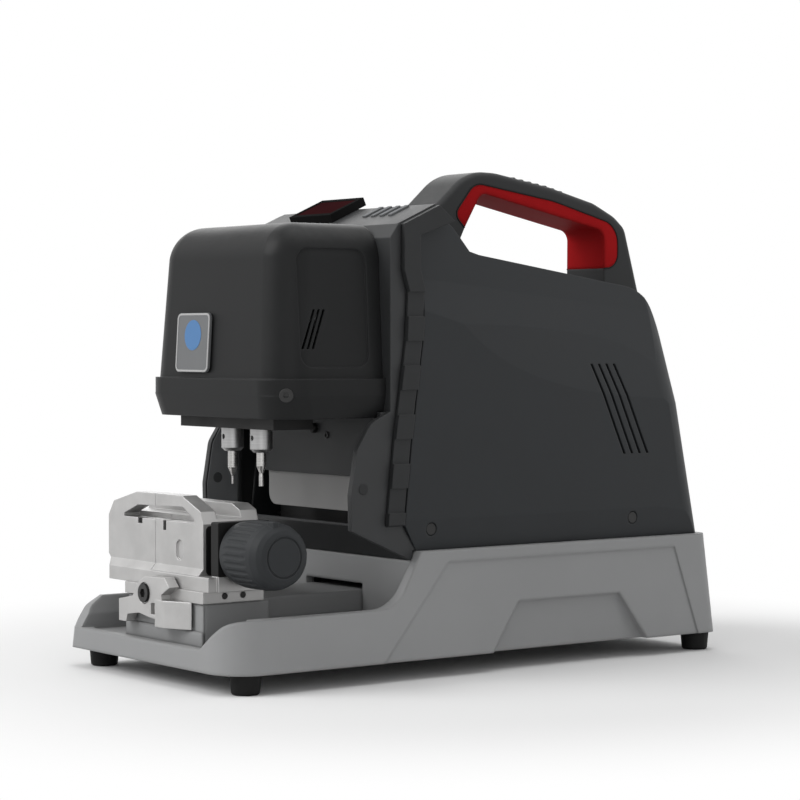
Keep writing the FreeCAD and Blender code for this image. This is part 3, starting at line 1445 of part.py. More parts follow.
def make_tools(axis):
    top = S.block_low - S.slide_clearance
    low = S.block_low - S.holder_length
    tip = S.tool_tip_height
    shank = S.tool_shank_radius
    radius = S.holder_radius
    for name, x, start in (("cutter", axis[0], top), ("probe", -S.spindle_offset, S.block_low)):
        profile = [(0, 0), (radius - 2, 0), (radius, 2), (radius, start - low), (0, start - low)]
        holder = turned("Z", (x, SPINDLE_Y, low), profile)
        hole_z = low + 9
        hole = rod("Y", (x, SPINDLE_Y - radius - 1, hole_z), 1.6, radius - 2)
        node(minus(holder, hole), f"{name}_holder")
        node(rod("Y", (x, SPINDLE_Y - radius + 0.8, hole_z), 1.5, radius - 3.9), f"{name}_set_screw")
    drop = low - tip
    cutter = [(0, 0), (1.5, 0), (1.5, 6), (1.3, 8), (shank, 12.5), (shank, drop), (0, drop)]
    node(turned("Z", (axis[0], SPINDLE_Y, tip), cutter), "cutter")
    probe = [(0, 0), (0.7, 0), (0.7, 5), (shank, 10.5), (shank, drop), (0, drop)]
    node(turned("Z", (-S.spindle_offset, SPINDLE_Y, tip), probe), "probe")


# Hand-over

def write_pieces():
    """Recompute, make sure every object is sound, and write one file for each piece."""
    doc.recompute()
    for thing in doc.Objects:
        if "Invalid" in thing.State or "Error" in thing.State:
            raise RuntimeError(f"{thing.Name} ({thing.Label}) did not compute")
    for piece in NODES:
        if piece.Shape.isNull() or not piece.Shape.isValid():
            raise RuntimeError(f"{piece.Label} has no valid shape")
    os.makedirs("parts", exist_ok=True)
    for piece in NODES:
        piece.Shape.exportStep(f"parts/{piece.Label}.step")


make_base()
make_feet()
make_handle()
make_covers()
make_cover_screws()
make_strips()
make_front_cover()
make_control_panel()
make_head_cover()
make_rear_panel()
make_frame()
make_y_slide()
make_x_slide()
make_clamp()
make_lock()
make_z_slide()
make_spindle_block()
write_pieces()
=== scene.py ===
import json
import math

import bpy
import numpy as np
from mathutils import Matrix, Vector


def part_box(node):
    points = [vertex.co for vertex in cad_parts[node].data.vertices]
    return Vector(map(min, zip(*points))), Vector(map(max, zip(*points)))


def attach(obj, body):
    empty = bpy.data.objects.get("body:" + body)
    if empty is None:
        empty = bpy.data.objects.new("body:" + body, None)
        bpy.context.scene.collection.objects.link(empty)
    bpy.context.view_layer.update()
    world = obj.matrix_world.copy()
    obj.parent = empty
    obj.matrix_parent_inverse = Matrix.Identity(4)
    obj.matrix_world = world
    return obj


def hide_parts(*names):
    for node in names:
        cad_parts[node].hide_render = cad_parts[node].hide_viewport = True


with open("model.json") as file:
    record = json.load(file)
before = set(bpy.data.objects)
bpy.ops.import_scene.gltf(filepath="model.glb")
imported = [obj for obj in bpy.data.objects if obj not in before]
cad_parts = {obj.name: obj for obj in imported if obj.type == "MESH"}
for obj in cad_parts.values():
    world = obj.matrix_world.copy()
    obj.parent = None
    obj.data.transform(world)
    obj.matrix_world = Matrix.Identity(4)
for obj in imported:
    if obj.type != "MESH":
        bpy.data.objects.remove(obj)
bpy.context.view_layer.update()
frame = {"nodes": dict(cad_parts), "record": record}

# Key duplicating machine, dressed for the photograph's view. Metres, in the frame of the solids:
# +X to the right seen from the front, +Y to the back, +Z up, floor at zero.

nodes = frame["nodes"]
scene = bpy.context.scene


# Shader nodes

def feed(tree, socket, value):
    """Link an input to another node's output, or set it to a constant."""
    if isinstance(value, bpy.types.NodeSocket):
        tree.links.new(value, socket)
    else:
        socket.default_value = value


def add(tree, kind, settings=None, **inputs):
    """A node with its settings and inputs.

    An input is named with underscores for blanks, or by its number as in i0."""
    made = tree.nodes.new(kind)
    for key, value in (settings or {}).items():
        setattr(made, key, value)
    for key, value in inputs.items():
        numbered = key[0] == "i" and key[1:].isdigit()
        feed(tree, made.inputs[int(key[1:]) if numbered else key.replace("_", " ")], value)
    return made


def calc(tree, operation, first, second):
    """One arithmetic step on two numbers."""
    return add(tree, "ShaderNodeMath", {"operation": operation}, i0=first, i1=second).outputs[0]


def noise(tree, scale, detail, roughness):
    """Noise on the piece's own coordinates; scale is features a metre."""
    where = add(tree, "ShaderNodeTexCoord").outputs["Object"]
    return add(tree, "ShaderNodeTexNoise", None, Vector=where, Scale=scale, Detail=detail,
               Roughness=roughness).outputs["Fac"]


def between(tree, value, low, high):
    """Stretch a number so that low becomes 0 and high becomes 1."""
    return add(tree, "ShaderNodeMapRange", {"clamp": True}, Value=value, From_Min=low,
               From_Max=high).outputs[0]


def looked_at(tree):
    """1 for rays of the camera, of reflections and through glass, 0 for rays that only carry light."""
    path = add(tree, "ShaderNodeLightPath")
    direct = calc(tree, "MAXIMUM", path.outputs["Is Camera Ray"], path.outputs["Is Glossy Ray"])
    return calc(tree, "MAXIMUM", direct, path.outputs["Is Transmission Ray"])


def blend(tree, factor, first, second):
    """Mix two colours; either may be a socket."""
    mix = add(tree, "ShaderNodeMix", {"data_type": "RGBA"}, i0=factor)
    for socket, value in ((mix.inputs[6], first), (mix.inputs[7], second)):
        feed(tree, socket, value if isinstance(value, bpy.types.NodeSocket) else (*value, 1.0))
    return mix.outputs[2]


# Shader node groups shared by several finishes

NUMBER, DIRECTION = "NodeSocketFloat", "NodeSocketVector"
TEXTURE = {"Height": NUMBER, "Tone": NUMBER}


def new_group(name, inputs, outputs):
    """An empty node group with named number inputs and the outputs asked for."""
    tree = bpy.data.node_groups.new(name, "ShaderNodeTree")
    for label, value in inputs.items():
        socket = tree.interface.new_socket(name=label, in_out="INPUT", socket_type=NUMBER)
        socket.default_value = value
    for label, kind in outputs.items():
        tree.interface.new_socket(name=label, in_out="OUTPUT", socket_type=kind)
    return tree, tree.nodes.new("NodeGroupInput").outputs, tree.nodes.new("NodeGroupOutput").inputs


def hand_out(tree, results, **values):
    """Link a group's results to its outputs and hand back the group."""
    for key, value in values.items():
        tree.links.new(value, results[key])
    return tree


def weighed(tree, first, share, second, other_share):
    """The sum of two numbers, each times its share."""
    return calc(tree, "ADD", calc(tree, "MULTIPLY", first, share),
                calc(tree, "MULTIPLY", second, other_share))


def make_rounded_edges():
    """Normal eased over the sharp edges of a solid, and a mask that is 1 along those edges."""
    tree, given, results = new_group("rounded_edges", {"Radius": 0.0008},
                                     {"Normal": DIRECTION, "Edge": NUMBER})
    eased = add(tree, "ShaderNodeBevel", {"samples": 6}, Radius=given["Radius"]).outputs["Normal"]
    flat = add(tree, "ShaderNodeNewGeometry").outputs["Normal"]
    likeness = add(tree, "ShaderNodeVectorMath", {"operation": "DOT_PRODUCT"}, i0=eased,
                   i1=flat).outputs["Value"]
    edge_starts, edge_full = 0.995, 0.80
    return hand_out(tree, results, Normal=eased, Edge=between(tree, likeness, edge_starts, edge_full))


def make_moulded_grain():
    """Spark-eroded grain of moulded plastic: fine height, and a broad unevenness of tone."""
    tree, given, results = new_group("moulded_grain", {"Grain": 1500.0, "Broad": 22.0}, TEXTURE)
    fine = noise(tree, given["Grain"], detail=3.0, roughness=0.6)
    broad = between(tree, noise(tree, given["Broad"], detail=3.0, roughness=0.55), 0.3, 0.7)
    return hand_out(tree, results, Height=fine, Tone=weighed(tree, broad, 0.7, fine, 0.3))


def make_paint_peel():
    """Sprayed paint on a casting: soft orange peel, fine speckle, broad unevenness."""
    tree, given, results = new_group("paint_peel", {"Peel": 420.0, "Speckle": 2600.0, "Broad": 14.0},
                                     TEXTURE)
    peel = noise(tree, given["Peel"], detail=2.0, roughness=0.5)
    speckle = noise(tree, given["Speckle"], detail=2.0, roughness=0.7)
    broad = between(tree, noise(tree, given["Broad"], detail=3.0, roughness=0.5), 0.3, 0.7)
    return hand_out(tree, results, Height=weighed(tree, peel, 1.0, speckle, 0.25),
                    Tone=weighed(tree, broad, 0.6, speckle, 0.4))


def make_blasted_metal():
    """Bead-blasted metal: very fine pits, faint handling stains."""
    tree, given, results = new_group("blasted_metal", {"Pits": 3200.0, "Stain": 60.0}, TEXTURE)
    pits = noise(tree, given["Pits"], detail=2.0, roughness=0.6)
    stain = between(tree, noise(tree, given["Stain"], detail=4.0, roughness=0.6), 0.35, 0.75)
    return hand_out(tree, results, Height=pits, Tone=stain)


def make_machined_lines():
    """Fine tool lines across a piece: noise drawn out long in X and Y, close in Z."""
    tree, given, results = new_group("machined_lines", {"Along": 60.0, "Across": 4200.0}, TEXTURE)
    where = add(tree, "ShaderNodeTexCoord").outputs["Object"]
    scales = add(tree, "ShaderNodeCombineXYZ", None, X=given["Along"], Y=given["Along"],
                 Z=given["Across"]).outputs[0]
    drawn = add(tree, "ShaderNodeVectorMath", {"operation": "MULTIPLY"}, i0=where, i1=scales).outputs[0]
    lines = add(tree, "ShaderNodeTexNoise", None, Vector=drawn, Scale=1.0, Detail=2.0).outputs["Fac"]
    return hand_out(tree, results, Height=lines, Tone=between(tree, lines, 0.3, 0.7))


def make_settled_dust():
    """Mask of light dust: strongest on faces that look up, broken by noise."""
    tree, given, results = new_group("settled_dust", {"Amount": 0.15, "Patches": 70.0}, {"Dust": NUMBER})
    facing = add(tree, "ShaderNodeNewGeometry").outputs["Normal"]
    up = add(tree, "ShaderNodeSeparateXYZ", None, i0=facing).outputs["Z"]
    patches = between(tree, noise(tree, given["Patches"], detail=5.0, roughness=0.65), 0.35, 0.8)
    settled = calc(tree, "MULTIPLY", between(tree, up, 0.3, 1.0), patches)
    return hand_out(tree, results, Dust=calc(tree, "MULTIPLY", settled, given["Amount"]))


ROUNDED = make_rounded_edges()
GRAIN = make_moulded_grain()
PEEL = make_paint_peel()
BLASTED = make_blasted_metal()
LINES = make_machined_lines()
DUST = make_settled_dust()


# Finishes

DUST_COLOUR = (0.42, 0.41, 0.39)


def set_in(tree, group, **values):
    """A shared group set into one material with its own values; its outputs."""
    holder = tree.nodes.new("ShaderNodeGroup")
    holder.node_tree = group
    for key, value in values.items():
        holder.inputs[key].default_value = value
    return holder.outputs


def finish(name, texture, dark, light, rough, bump, edge=0.0008, worn=None, dust=0.0, settings=None):
    """A surface finish: a texture group drives tone, roughness and bump; edges are eased and may wear.

    Colour runs from dark to light with the texture's tone, and roughness between its two values. Bump is
    a strength and a depth. Edges are eased by a radius, and where they are worn they take a share of the
    worn colour. Dust lightens what looks up. Settings are constants of the shader."""
    made = bpy.data.materials.new(name)
    made.use_nodes = True
    tree = made.node_tree
    shader = tree.nodes["Principled BSDF"]
    for key, value in (settings or {}).items():
        shader.inputs[key].default_value = value
    surface = set_in(tree, texture)
    edges = set_in(tree, ROUNDED, Radius=edge)
    colour = blend(tree, surface["Tone"], dark, light)
    if worn is not None:
        worn_colour, worn_share = worn
        colour = blend(tree, calc(tree, "MULTIPLY", edges["Edge"], worn_share), colour, worn_colour)
    if dust:
        colour = blend(tree, set_in(tree, DUST, Amount=dust)["Dust"], colour, DUST_COLOUR)
    tree.links.new(colour, shader.inputs["Base Color"])
    roughness = add(tree, "ShaderNodeMapRange", None, Value=surface["Tone"], To_Min=rough[0],
                    To_Max=rough[1])
    tree.links.new(roughness.outputs[0], shader.inputs["Roughness"])
    bumped = add(tree, "ShaderNodeBump", None, Strength=bump[0], Distance=bump[1],
                 Height=surface["Height"], Normal=edges["Normal"])
    tree.links.new(bumped.outputs[0], shader.inputs["Normal"])
    return made


def grey(value, tint=0.0):
    """A linear grey, tinted a little to blue, or to red where the tint is below zero."""
    return (value * (1 - tint), value, value * (1 + tint))


def sheen(level):
    """Strength of the reflection on a painted or moulded surface."""
    return {"Specular IOR Level": level}


METAL = {"Metallic": 1.0}
DULL_METAL = {"Metallic": 0.70}
NO_SHEEN, FAINT_SHEEN, LOW_SHEEN, MATT, SATIN = (sheen(level) for level in (0.0, 0.012, 0.12, 0.20, 0.30))

# Bumps: strength and depth
MOULDED = (0.20, 0.0002)
SPRAYED = (0.10, 0.0002)
FINE = (0.10, 0.0001)
SLIGHT = (0.05, 0.0001)
PRINTED = (0.03, 0.0001)
POLISHED = (0.02, 0.0001)

FINISHES = {
    "base_paint": finish(
        "base_paint", PEEL, grey(0.255, 0.01), grey(0.290, 0.01), (0.42, 0.55), (0.10, 0.0003),
        edge=0.0030, worn=(grey(0.36), 0.25), dust=0.10, settings=SATIN),
    "housing_plastic": finish(
        "housing_plastic", GRAIN, grey(0.022, 0.08), grey(0.028, 0.08), (0.46, 0.58), MOULDED,
        edge=0.0015, worn=(grey(0.06, 0.03), 0.4), dust=0.05, settings=MATT),
    "head_plastic": finish(
        "head_plastic", GRAIN, grey(0.0125, 0.03), grey(0.0165, 0.03), (0.38, 0.48), (0.16, 0.0002),
        edge=0.0015, worn=(grey(0.05, 0.03), 0.4), dust=0.05, settings=LOW_SHEEN),
    "trim_plastic": finish(
        "trim_plastic", GRAIN, grey(0.020, 0.04), grey(0.027, 0.04), (0.42, 0.55), MOULDED,
        edge=0.0010, worn=(grey(0.05, 0.03), 0.4), dust=0.04, settings=MATT),
    "handle_plastic": finish(
        "handle_plastic", GRAIN, grey(0.020, 0.04), grey(0.027, 0.04), (0.44, 0.56), MOULDED,
        edge=0.0020, worn=(grey(0.07, 0.03), 0.3), dust=0.06, settings=MATT),
    "grip_red": finish(
        "grip_red", GRAIN, (0.33, 0.010, 0.012), (0.40, 0.014, 0.016), (0.50, 0.60), (0.12, 0.0002),
        edge=0.0045, worn=((0.42, 0.02, 0.02), 0.3), settings=FAINT_SHEEN),
    "foot_rubber": finish(
        "foot_rubber", GRAIN, grey(0.004), grey(0.008), (0.60, 0.75), (0.30, 0.0003),
        edge=0.0010, settings=MATT),
    "screw_steel": finish(
        "screw_steel", BLASTED, grey(0.016), grey(0.026), (0.40, 0.55), FINE,
        edge=0.0004, worn=(grey(0.08), 0.5), settings=SATIN),
    "frame_steel": finish(
        "frame_steel", PEEL, grey(0.018), grey(0.026), (0.45, 0.60), SPRAYED,
        edge=0.0006, worn=(grey(0.08), 0.3)),
    "clamp_metal": finish(
        "clamp_metal", BLASTED, grey(0.41, -0.01), grey(0.48, -0.01), (0.38, 0.50), FINE,
        edge=0.0008, worn=(grey(0.66), 0.5), settings=DULL_METAL),
    "bright_steel": finish(
        "bright_steel", LINES, grey(0.32), grey(0.42), (0.30, 0.45), FINE,
        edge=0.0005, worn=(grey(0.55), 0.5), settings=METAL),
    "cutter_metal": finish(
        "tool_steel", LINES, grey(0.36, -0.02), grey(0.48, -0.02), (0.22, 0.36), FINE,
        edge=0.0003, settings=METAL),
    "knob_plastic": finish(
        "knob_plastic", GRAIN, grey(0.022, 0.08), grey(0.030, 0.08), (0.50, 0.62), (0.35, 0.0003),
        edge=0.0010, worn=(grey(0.08, 0.05), 0.4), settings=MATT),
    "guard_plastic": finish(
        "guard_finish", PEEL, grey(0.25, -0.01), grey(0.31, -0.01), (0.40, 0.55), (0.08, 0.0002),
        edge=0.0008, dust=0.08, settings=SATIN),
    "gloss_black": finish(
        "gloss_black", GRAIN, grey(0.012), grey(0.018), (0.18, 0.26), POLISHED,
        edge=0.0008, worn=(grey(0.05), 0.4), settings=NO_SHEEN),
    "lens_red": finish(
        "lens_red", GRAIN, (0.022, 0.006, 0.007), (0.034, 0.009, 0.010), (0.22, 0.30), POLISHED,
        edge=0.0006, settings=NO_SHEEN),
    "light_grey": finish(
        "light_guide", GRAIN, grey(0.20, 0.03), grey(0.25, 0.03), (0.45, 0.55), SLIGHT,
        edge=0.0005, settings=NO_SHEEN),
    "label_face": finish(
        "label_card", GRAIN, grey(0.125, 0.03), grey(0.145, 0.03), (0.30, 0.40), PRINTED,
        edge=0.0003, settings=SATIN),
    "board_green": finish(
        "board_green", GRAIN, (0.012, 0.09, 0.035), (0.02, 0.13, 0.05), (0.35, 0.5), SLIGHT),
    "nut_brass": finish(
        "brass", LINES, (0.46, 0.31, 0.11), (0.56, 0.40, 0.17), (0.25, 0.40), FINE,
        edge=0.0005, settings=METAL),
    "motor_black": finish(
        "motor_black", PEEL, grey(0.020), grey(0.030), (0.40, 0.55), SPRAYED,
        edge=0.0006, worn=(grey(0.08), 0.3)),
    "carriage_black": finish(
        "carriage_black", BLASTED, grey(0.006), grey(0.010), (0.45, 0.60), FINE,
        edge=0.0006, worn=(grey(0.04), 0.4), settings=MATT),
    "belt_rubber": finish("belt_rubber", GRAIN, grey(0.012), grey(0.018), (0.60, 0.75), MOULDED),
}
# A paler copy of the housing plastic for the front cover: painted light
FRONT_PLASTIC_LIT = finish(
    "front_plastic_lit", GRAIN, grey(0.026, 0.04), grey(0.033, 0.04), (0.44, 0.55), MOULDED,
    edge=0.0015, worn=(grey(0.07, 0.03), 0.4), dust=0.05, settings=SATIN)
LABEL_BORDER = finish(
    "label_border", GRAIN, grey(0.36), grey(0.42), (0.30, 0.40), PRINTED, edge=0.0003, settings=SATIN)
LABEL_BLUE = finish(
    "label_blue", GRAIN, (0.055, 0.165, 0.36), (0.070, 0.185, 0.39), (0.30, 0.40), PRINTED,
    edge=0.0003, settings=SATIN)
# Pale finish of the cheek linings: painted light on the cheeks' shaded inner faces
CHEEK_PAINTED_LIGHT = finish(
    "cheek_painted_light", GRAIN, grey(0.20, 0.03), grey(0.25, 0.03), (0.48, 0.60), MOULDED,
    edge=0.0006, settings=MATT)
# Darker finish of the inner cheek caps: painted shade of the shallow dimples they stand for
CAP_PAINTED_SHADE = finish(
    "cap_painted_shade", GRAIN, grey(0.07, 0.03), grey(0.09, 0.03), (0.48, 0.60), MOULDED,
    edge=0.0006, settings=MATT)

# The front cover takes a little paler copy of the side covers' material: painted light, standing for the light
# on its hood and in its recess
OWN_FINISH = {"front_cover": FRONT_PLASTIC_LIT}
for entry in frame["record"]["subparts"]:
    piece = nodes[entry["node"]]
    piece.data.materials.clear()
    piece.data.materials.append(OWN_FINISH.get(entry["node"], FINISHES[entry["material_slot"]]))


# Surfaces of the small pieces

def skin(name, rings, body, slot, look=None, looped=False):
    """A closed surface through rings of points, ring i holding the points rings[i].

    Point j of a ring joins point j + 1, the last joins the first, and each ring joins the next. Rings run
    counter-clockwise about the way they advance, so faces look outwards. Looped rings close on themselves,
    the others end in two flat caps. The piece takes its slot's finish unless it has a look of its own."""
    count, around = rings.shape[:2]
    ring = np.arange(count if looped else count - 1)[:, None]
    point = np.arange(around)[None, :]
    after, beside = (ring + 1) % count, (point + 1) % around
    corners = [ring * around + point, ring * around + beside, after * around + beside,
               after * around + point]
    faces = np.stack(corners, -1).reshape(-1, 4).tolist()
    if not looped:
        last = (count - 1) * around
        faces += [list(range(around))[::-1], list(range(last, last + around))]
    mesh = bpy.data.meshes.new(name)
    mesh.from_pydata(rings.reshape(-1, 3).tolist(), [], faces)
    mesh.update()
    mesh.materials.append(FINISHES[slot] if look is None else look)
    made = bpy.data.objects.new(name, mesh)
    scene.collection.objects.link(made)
    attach(made, body)
    return made


TO_RIGHT, TO_FRONT = (1.0, 0.0, 0.0), (0.0, -1.0, 0.0)


def seat(origin, out, up=(0.0, 0.0, 1.0)):
    """A flat place to build on: its origin, its across and up directions and the way out of it."""
    out = np.array(out) / np.linalg.norm(out)
    across = np.cross(up, out)
    across /= np.linalg.norm(across)
    return np.array(origin), across, np.cross(out, across), out


def on_seat(place, across, up, out):
    """Points at the given distances across, up and out of a seat."""
    origin, *directions = place
    shares = [np.asarray(share)[..., None] * way for share, way in zip((across, up, out), directions)]
    return origin + sum(shares)


def shifted(place, up, out):
    """A seat moved up its face and out of it."""
    return on_seat(place, 0.0, up, out), *place[1:]


def round_cornered(half_wide, half_high, corner, count=96):
    """Points round a rectangle: a circle of the corner's radius, its quarters moved out to the corners."""
    turn = (np.arange(count) + 0.5) * 2 * np.pi / count
    across = np.sign(np.cos(turn)) * (half_wide - corner) + corner * np.cos(turn)
    up = np.sign(np.sin(turn)) * (half_high - corner) + corner * np.sin(turn)
    return across, up


def plaque(place, half_wide, half_high, corner, thick, ease):
    """Rings of a flat plate: one outline at the seat, then quarter-round steps that draw it in at the front."""
    quarter = np.linspace(0, np.pi / 2, 5)
    drawn_in = np.concatenate([[0.0], ease * (1 - np.cos(quarter))])
    depth = np.concatenate([[0.0], thick - ease + ease * np.sin(quarter)])
    outlines = [round_cornered(half_wide - less, half_high - less, corner - less) for less in drawn_in]
    across, up = np.swapaxes(np.array(outlines), 0, 1)
    return on_seat(place, across, up, np.broadcast_to(depth[:, None], across.shape))


def disc(place, radius, thick, ease):
    """Rings of a round plate: a plaque whose corners leave a hundredth of a millimetre of its sides."""
    return plaque(place, radius, radius, radius - 0.00001, thick, ease)


def border(place, half_wide, half_high, corner, wide, thick):
    """Rings of a raised frame: the outline outside, on top outside, on top inside and back down inside."""
    outer = round_cornered(half_wide, half_high, corner)
    inner = round_cornered(half_wide - wide, half_high - wide, corner - wide)
    across, up = np.swapaxes(np.array([outer, outer, inner, inner]), 0, 1)
    depth = np.array([0.0, thick, thick, 0.0])[:, None]
    return on_seat(place, across, up, np.broadcast_to(depth, across.shape))


def socket_head(place, radius, height, socket, count=48):
    """Rings of a screw head: a round rim eased at the top, then a six-sided socket sunk two thirds deep.

    The hexagon's reach at an angle is its flat's distance over the cosine of the angle to that flat."""
    turn = np.arange(count) * 2 * np.pi / count
    six = socket / np.cos(np.mod(turn, np.pi / 3) - np.pi / 6)
    whole = np.ones(count)
    ease = height * 0.2
    reach = np.stack([radius * whole, radius * whole, (radius - ease) * whole, six, six])
    depth = np.array([0.0, height - ease, height, height, height / 3])[:, None]
    return on_seat(place, reach * np.cos(turn), reach * np.sin(turn), np.broadcast_to(depth, reach.shape))


def bead(place, half_long, half_wide, high, rows=33, count=24):
    """Rings of a bead: an ellipse carried across its seat, shrinking at both ends by a sixth-power curve."""
    along = np.sin(np.linspace(-np.pi / 2, np.pi / 2, rows))[1:-1, None]
    size = (1 - along ** 6) ** (1 / 6)
    turn = np.arange(count)[None, :] * 2 * np.pi / count
    return on_seat(place, half_long * along * np.ones_like(turn), half_wide * size * np.cos(turn),
                   high * size * np.sin(turn))


def eased_path(corners, radii, steps=9):
    """A path through corners, each one between the ends replaced by an arc that touches both its sides.

    An arc of radius r meets the sides r over the tangent of half their angle away from the corner."""
    corners = np.array(corners)
    path = [corners[:1]]
    share = np.linspace(0, 1, steps)[:, None]
    for before, corner, after, radius in zip(corners, corners[1:], corners[2:], radii):
        back = (before - corner) / np.linalg.norm(before - corner)
        ahead = (after - corner) / np.linalg.norm(after - corner)
        half = np.arccos(back @ ahead) / 2
        middle = (back + ahead) / np.linalg.norm(back + ahead)
        centre = corner + middle * radius / np.sin(half)
        first, last = (corner + way * radius / np.tan(half) - centre for way in (back, ahead))
        sweep = np.pi - 2 * half
        turned = np.sin((1 - share) * sweep) * first + np.sin(share * sweep) * last
        path.append(centre + turned / np.sin(sweep))
    path.append(corners[-1:])
    return np.concatenate(path)


def side_tube(outline, x, radius, count=10):
    """Rings of a round cord along an outline of (Y, Z) points that lies in the plane of one X."""
    along = np.gradient(outline, axis=0)
    along /= np.linalg.norm(along, axis=1)[:, None]
    turn = np.arange(count) * 2 * np.pi / count
    beside = np.stack([-along[:, 1], along[:, 0]], -1)
    flat = outline[:, None, :] + radius * np.cos(turn)[None, :, None] * beside[:, None, :]
    out = np.broadcast_to(x + radius * np.sin(turn)[None, :, None], (len(outline), count, 1))
    return np.concatenate([out, flat], -1)


def side_sheet(outline, start, end):
    """Rings of a flat sheet with an outline of (Y, Z) points, from one X to a larger one."""
    places = np.array([start, end])[:, None, None]
    flat = np.broadcast_to(outline[None], (2, len(outline), 2))
    return np.concatenate([np.broadcast_to(places, (2, len(outline), 1)), flat], -1)


# The small pieces

def make_label():
    """A bare label on the leaning front of the head: a plain card, a pale border, a blue disc.

    The card stands for the solid plate and is sunk a little way into the head's front. Border and disc
    start just under the card's face."""
    low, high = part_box("label_plate")
    lean = math.radians(3.4)
    half_wide, half_high, corner = 0.0190, 0.0185, 0.004
    card_sunk, card_thick, card_ease = 0.0012, 0.0016, 0.0003
    print_foot, print_thick, print_ease = 0.0003, 0.0003, 0.0001
    border_inset, border_wide = 0.0003, 0.0012
    disc_radius, disc_rise = 0.0095, 0.0046
    middle = [(low[0] + high[0]) / 2, low[1], (low[2] + high[2]) / 2]
    face = seat(middle, (0.0, -math.cos(lean), math.sin(lean)))
    rings = plaque(shifted(face, 0.0, -card_sunk), half_wide, half_high, corner, card_thick, card_ease)
    card = skin("label_card", rings, "housing", "label_face")
    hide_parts("label_plate")
    rings = border(shifted(face, 0.0, print_foot), half_wide - border_inset, half_high - border_inset,
                   corner - border_inset, border_wide, print_thick)
    skin("label_border", rings, "housing", "label_face", LABEL_BORDER, looped=True)
    rings = disc(shifted(face, disc_rise, print_foot), disc_radius, print_thick, print_ease)
    skin("label_disc", rings, "housing", "label_face", LABEL_BLUE)


def make_clamp_cover_and_jaw_shade():
    """Black pieces between clamp and knob: a cover block round the end plate, and a sheet on the moving jaw's
    end that is painted shade, darkening the gap between jaw and end plate.

    The block ends just short of the knob, and starts just past what the sheet reaches with the jaw out."""
    body_low, body_high = np.array(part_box("clamp_body"))
    knob_low, knob_high = np.array(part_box("clamp_knob"))
    jaw_low, jaw_high = np.array(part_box("clamp_jaw"))
    foot_gap = 0.0002
    bottom = jaw_low[2] + foot_gap

    to_knob, thick, corner, ease = 0.0080, 0.0078, 0.0012, 0.0003
    front_inset, back_inset, over_axis = 0.0056, 0.0016, 0.0186
    front, back = body_low[1] + front_inset, body_high[1] - back_inset
    top = (knob_low[2] + knob_high[2]) / 2 + over_axis
    place = seat((knob_low[0] - to_knob, (front + back) / 2, (bottom + top) / 2), TO_RIGHT)
    rings = plaque(place, (back - front) / 2, (top - bottom) / 2, corner, thick, ease)
    skin("clamp_end_cover", rings, "clamp_table", "carriage_black")

    # The sheet is painted shade: it blacks out the jaw's bright end face inside the shaded gap
    sunk, thick, corner, ease = 0.0002, 0.0005, 0.003, 0.0002
    front_inset, back_inset, top_inset = 0.0055, 0.002, 0.017
    front, back, top = jaw_low[1] + front_inset, jaw_high[1] - back_inset, jaw_high[2] - top_inset
    place = seat((jaw_high[0] - sunk, (front + back) / 2, (bottom + top) / 2), TO_RIGHT)
    rings = plaque(place, (back - front) / 2, (top - bottom) / 2, corner, thick, ease)
    skin("jaw_end_shade", rings, "clamp_jaw", "carriage_black")


def make_carriage_front():
    """A lip in front of the carriage's channel, and the plate that closes the carriage's front.

    The lip stays below the lock bracket, which passes over it when the carriage runs back."""
    carriage_low, carriage_high = np.array(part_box("y_carriage"))
    bracket_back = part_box("lock_bracket")[1][1]
    half_wide, corner, ease = carriage_high[0], 0.0006, 0.0003

    low, top, thick = 0.0234, 0.0330, 0.0010
    behind_bracket, overhang = 0.0014, 0.0012
    place = seat((0.0, bracket_back + behind_bracket, (low + top) / 2), TO_FRONT)
    rings = plaque(place, half_wide + overhang, (top - low) / 2, corner, thick, ease)
    skin("channel_lip", rings, "housing", "base_paint")

    sunk, side_inset, top_inset = 0.0002, 0.0001, 0.0002
    low, top, thick = 0.0308, carriage_high[2] - top_inset, 0.0012
    place = seat((0.0, carriage_low[1] + sunk, (low + top) / 2), TO_FRONT)
    rings = plaque(place, half_wide - side_inset, (top - low) / 2, corner, thick, ease)
    skin("carriage_front_plate", rings, "y_carriage", "base_paint")


def make_pocket_shades():
    """Black plates in the two pockets of the clamp's window, painted shade for the pockets' depth, one on the
    body and one on the jaw.
    """
    pocket_depth, top = 0.0070, 0.0968
    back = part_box("clamp_body")[0][1] + pocket_depth
    corner, thick, ease = 0.0003, 0.0020, 0.0001
    # Each plate is painted shade: black where the pocket's hollow is dark
    for name, body, middle, half_wide, low in (
            ("pocket_shade_left", "clamp_table", -0.03575, 0.0027, 0.0936),
            ("pocket_shade_right", "clamp_jaw", -0.0066, 0.00185, 0.0911)):
        place = seat((middle, back, (low + top) / 2), TO_FRONT)
        skin(name, plaque(place, half_wide, (top - low) / 2, corner, thick, ease), body, "carriage_black")


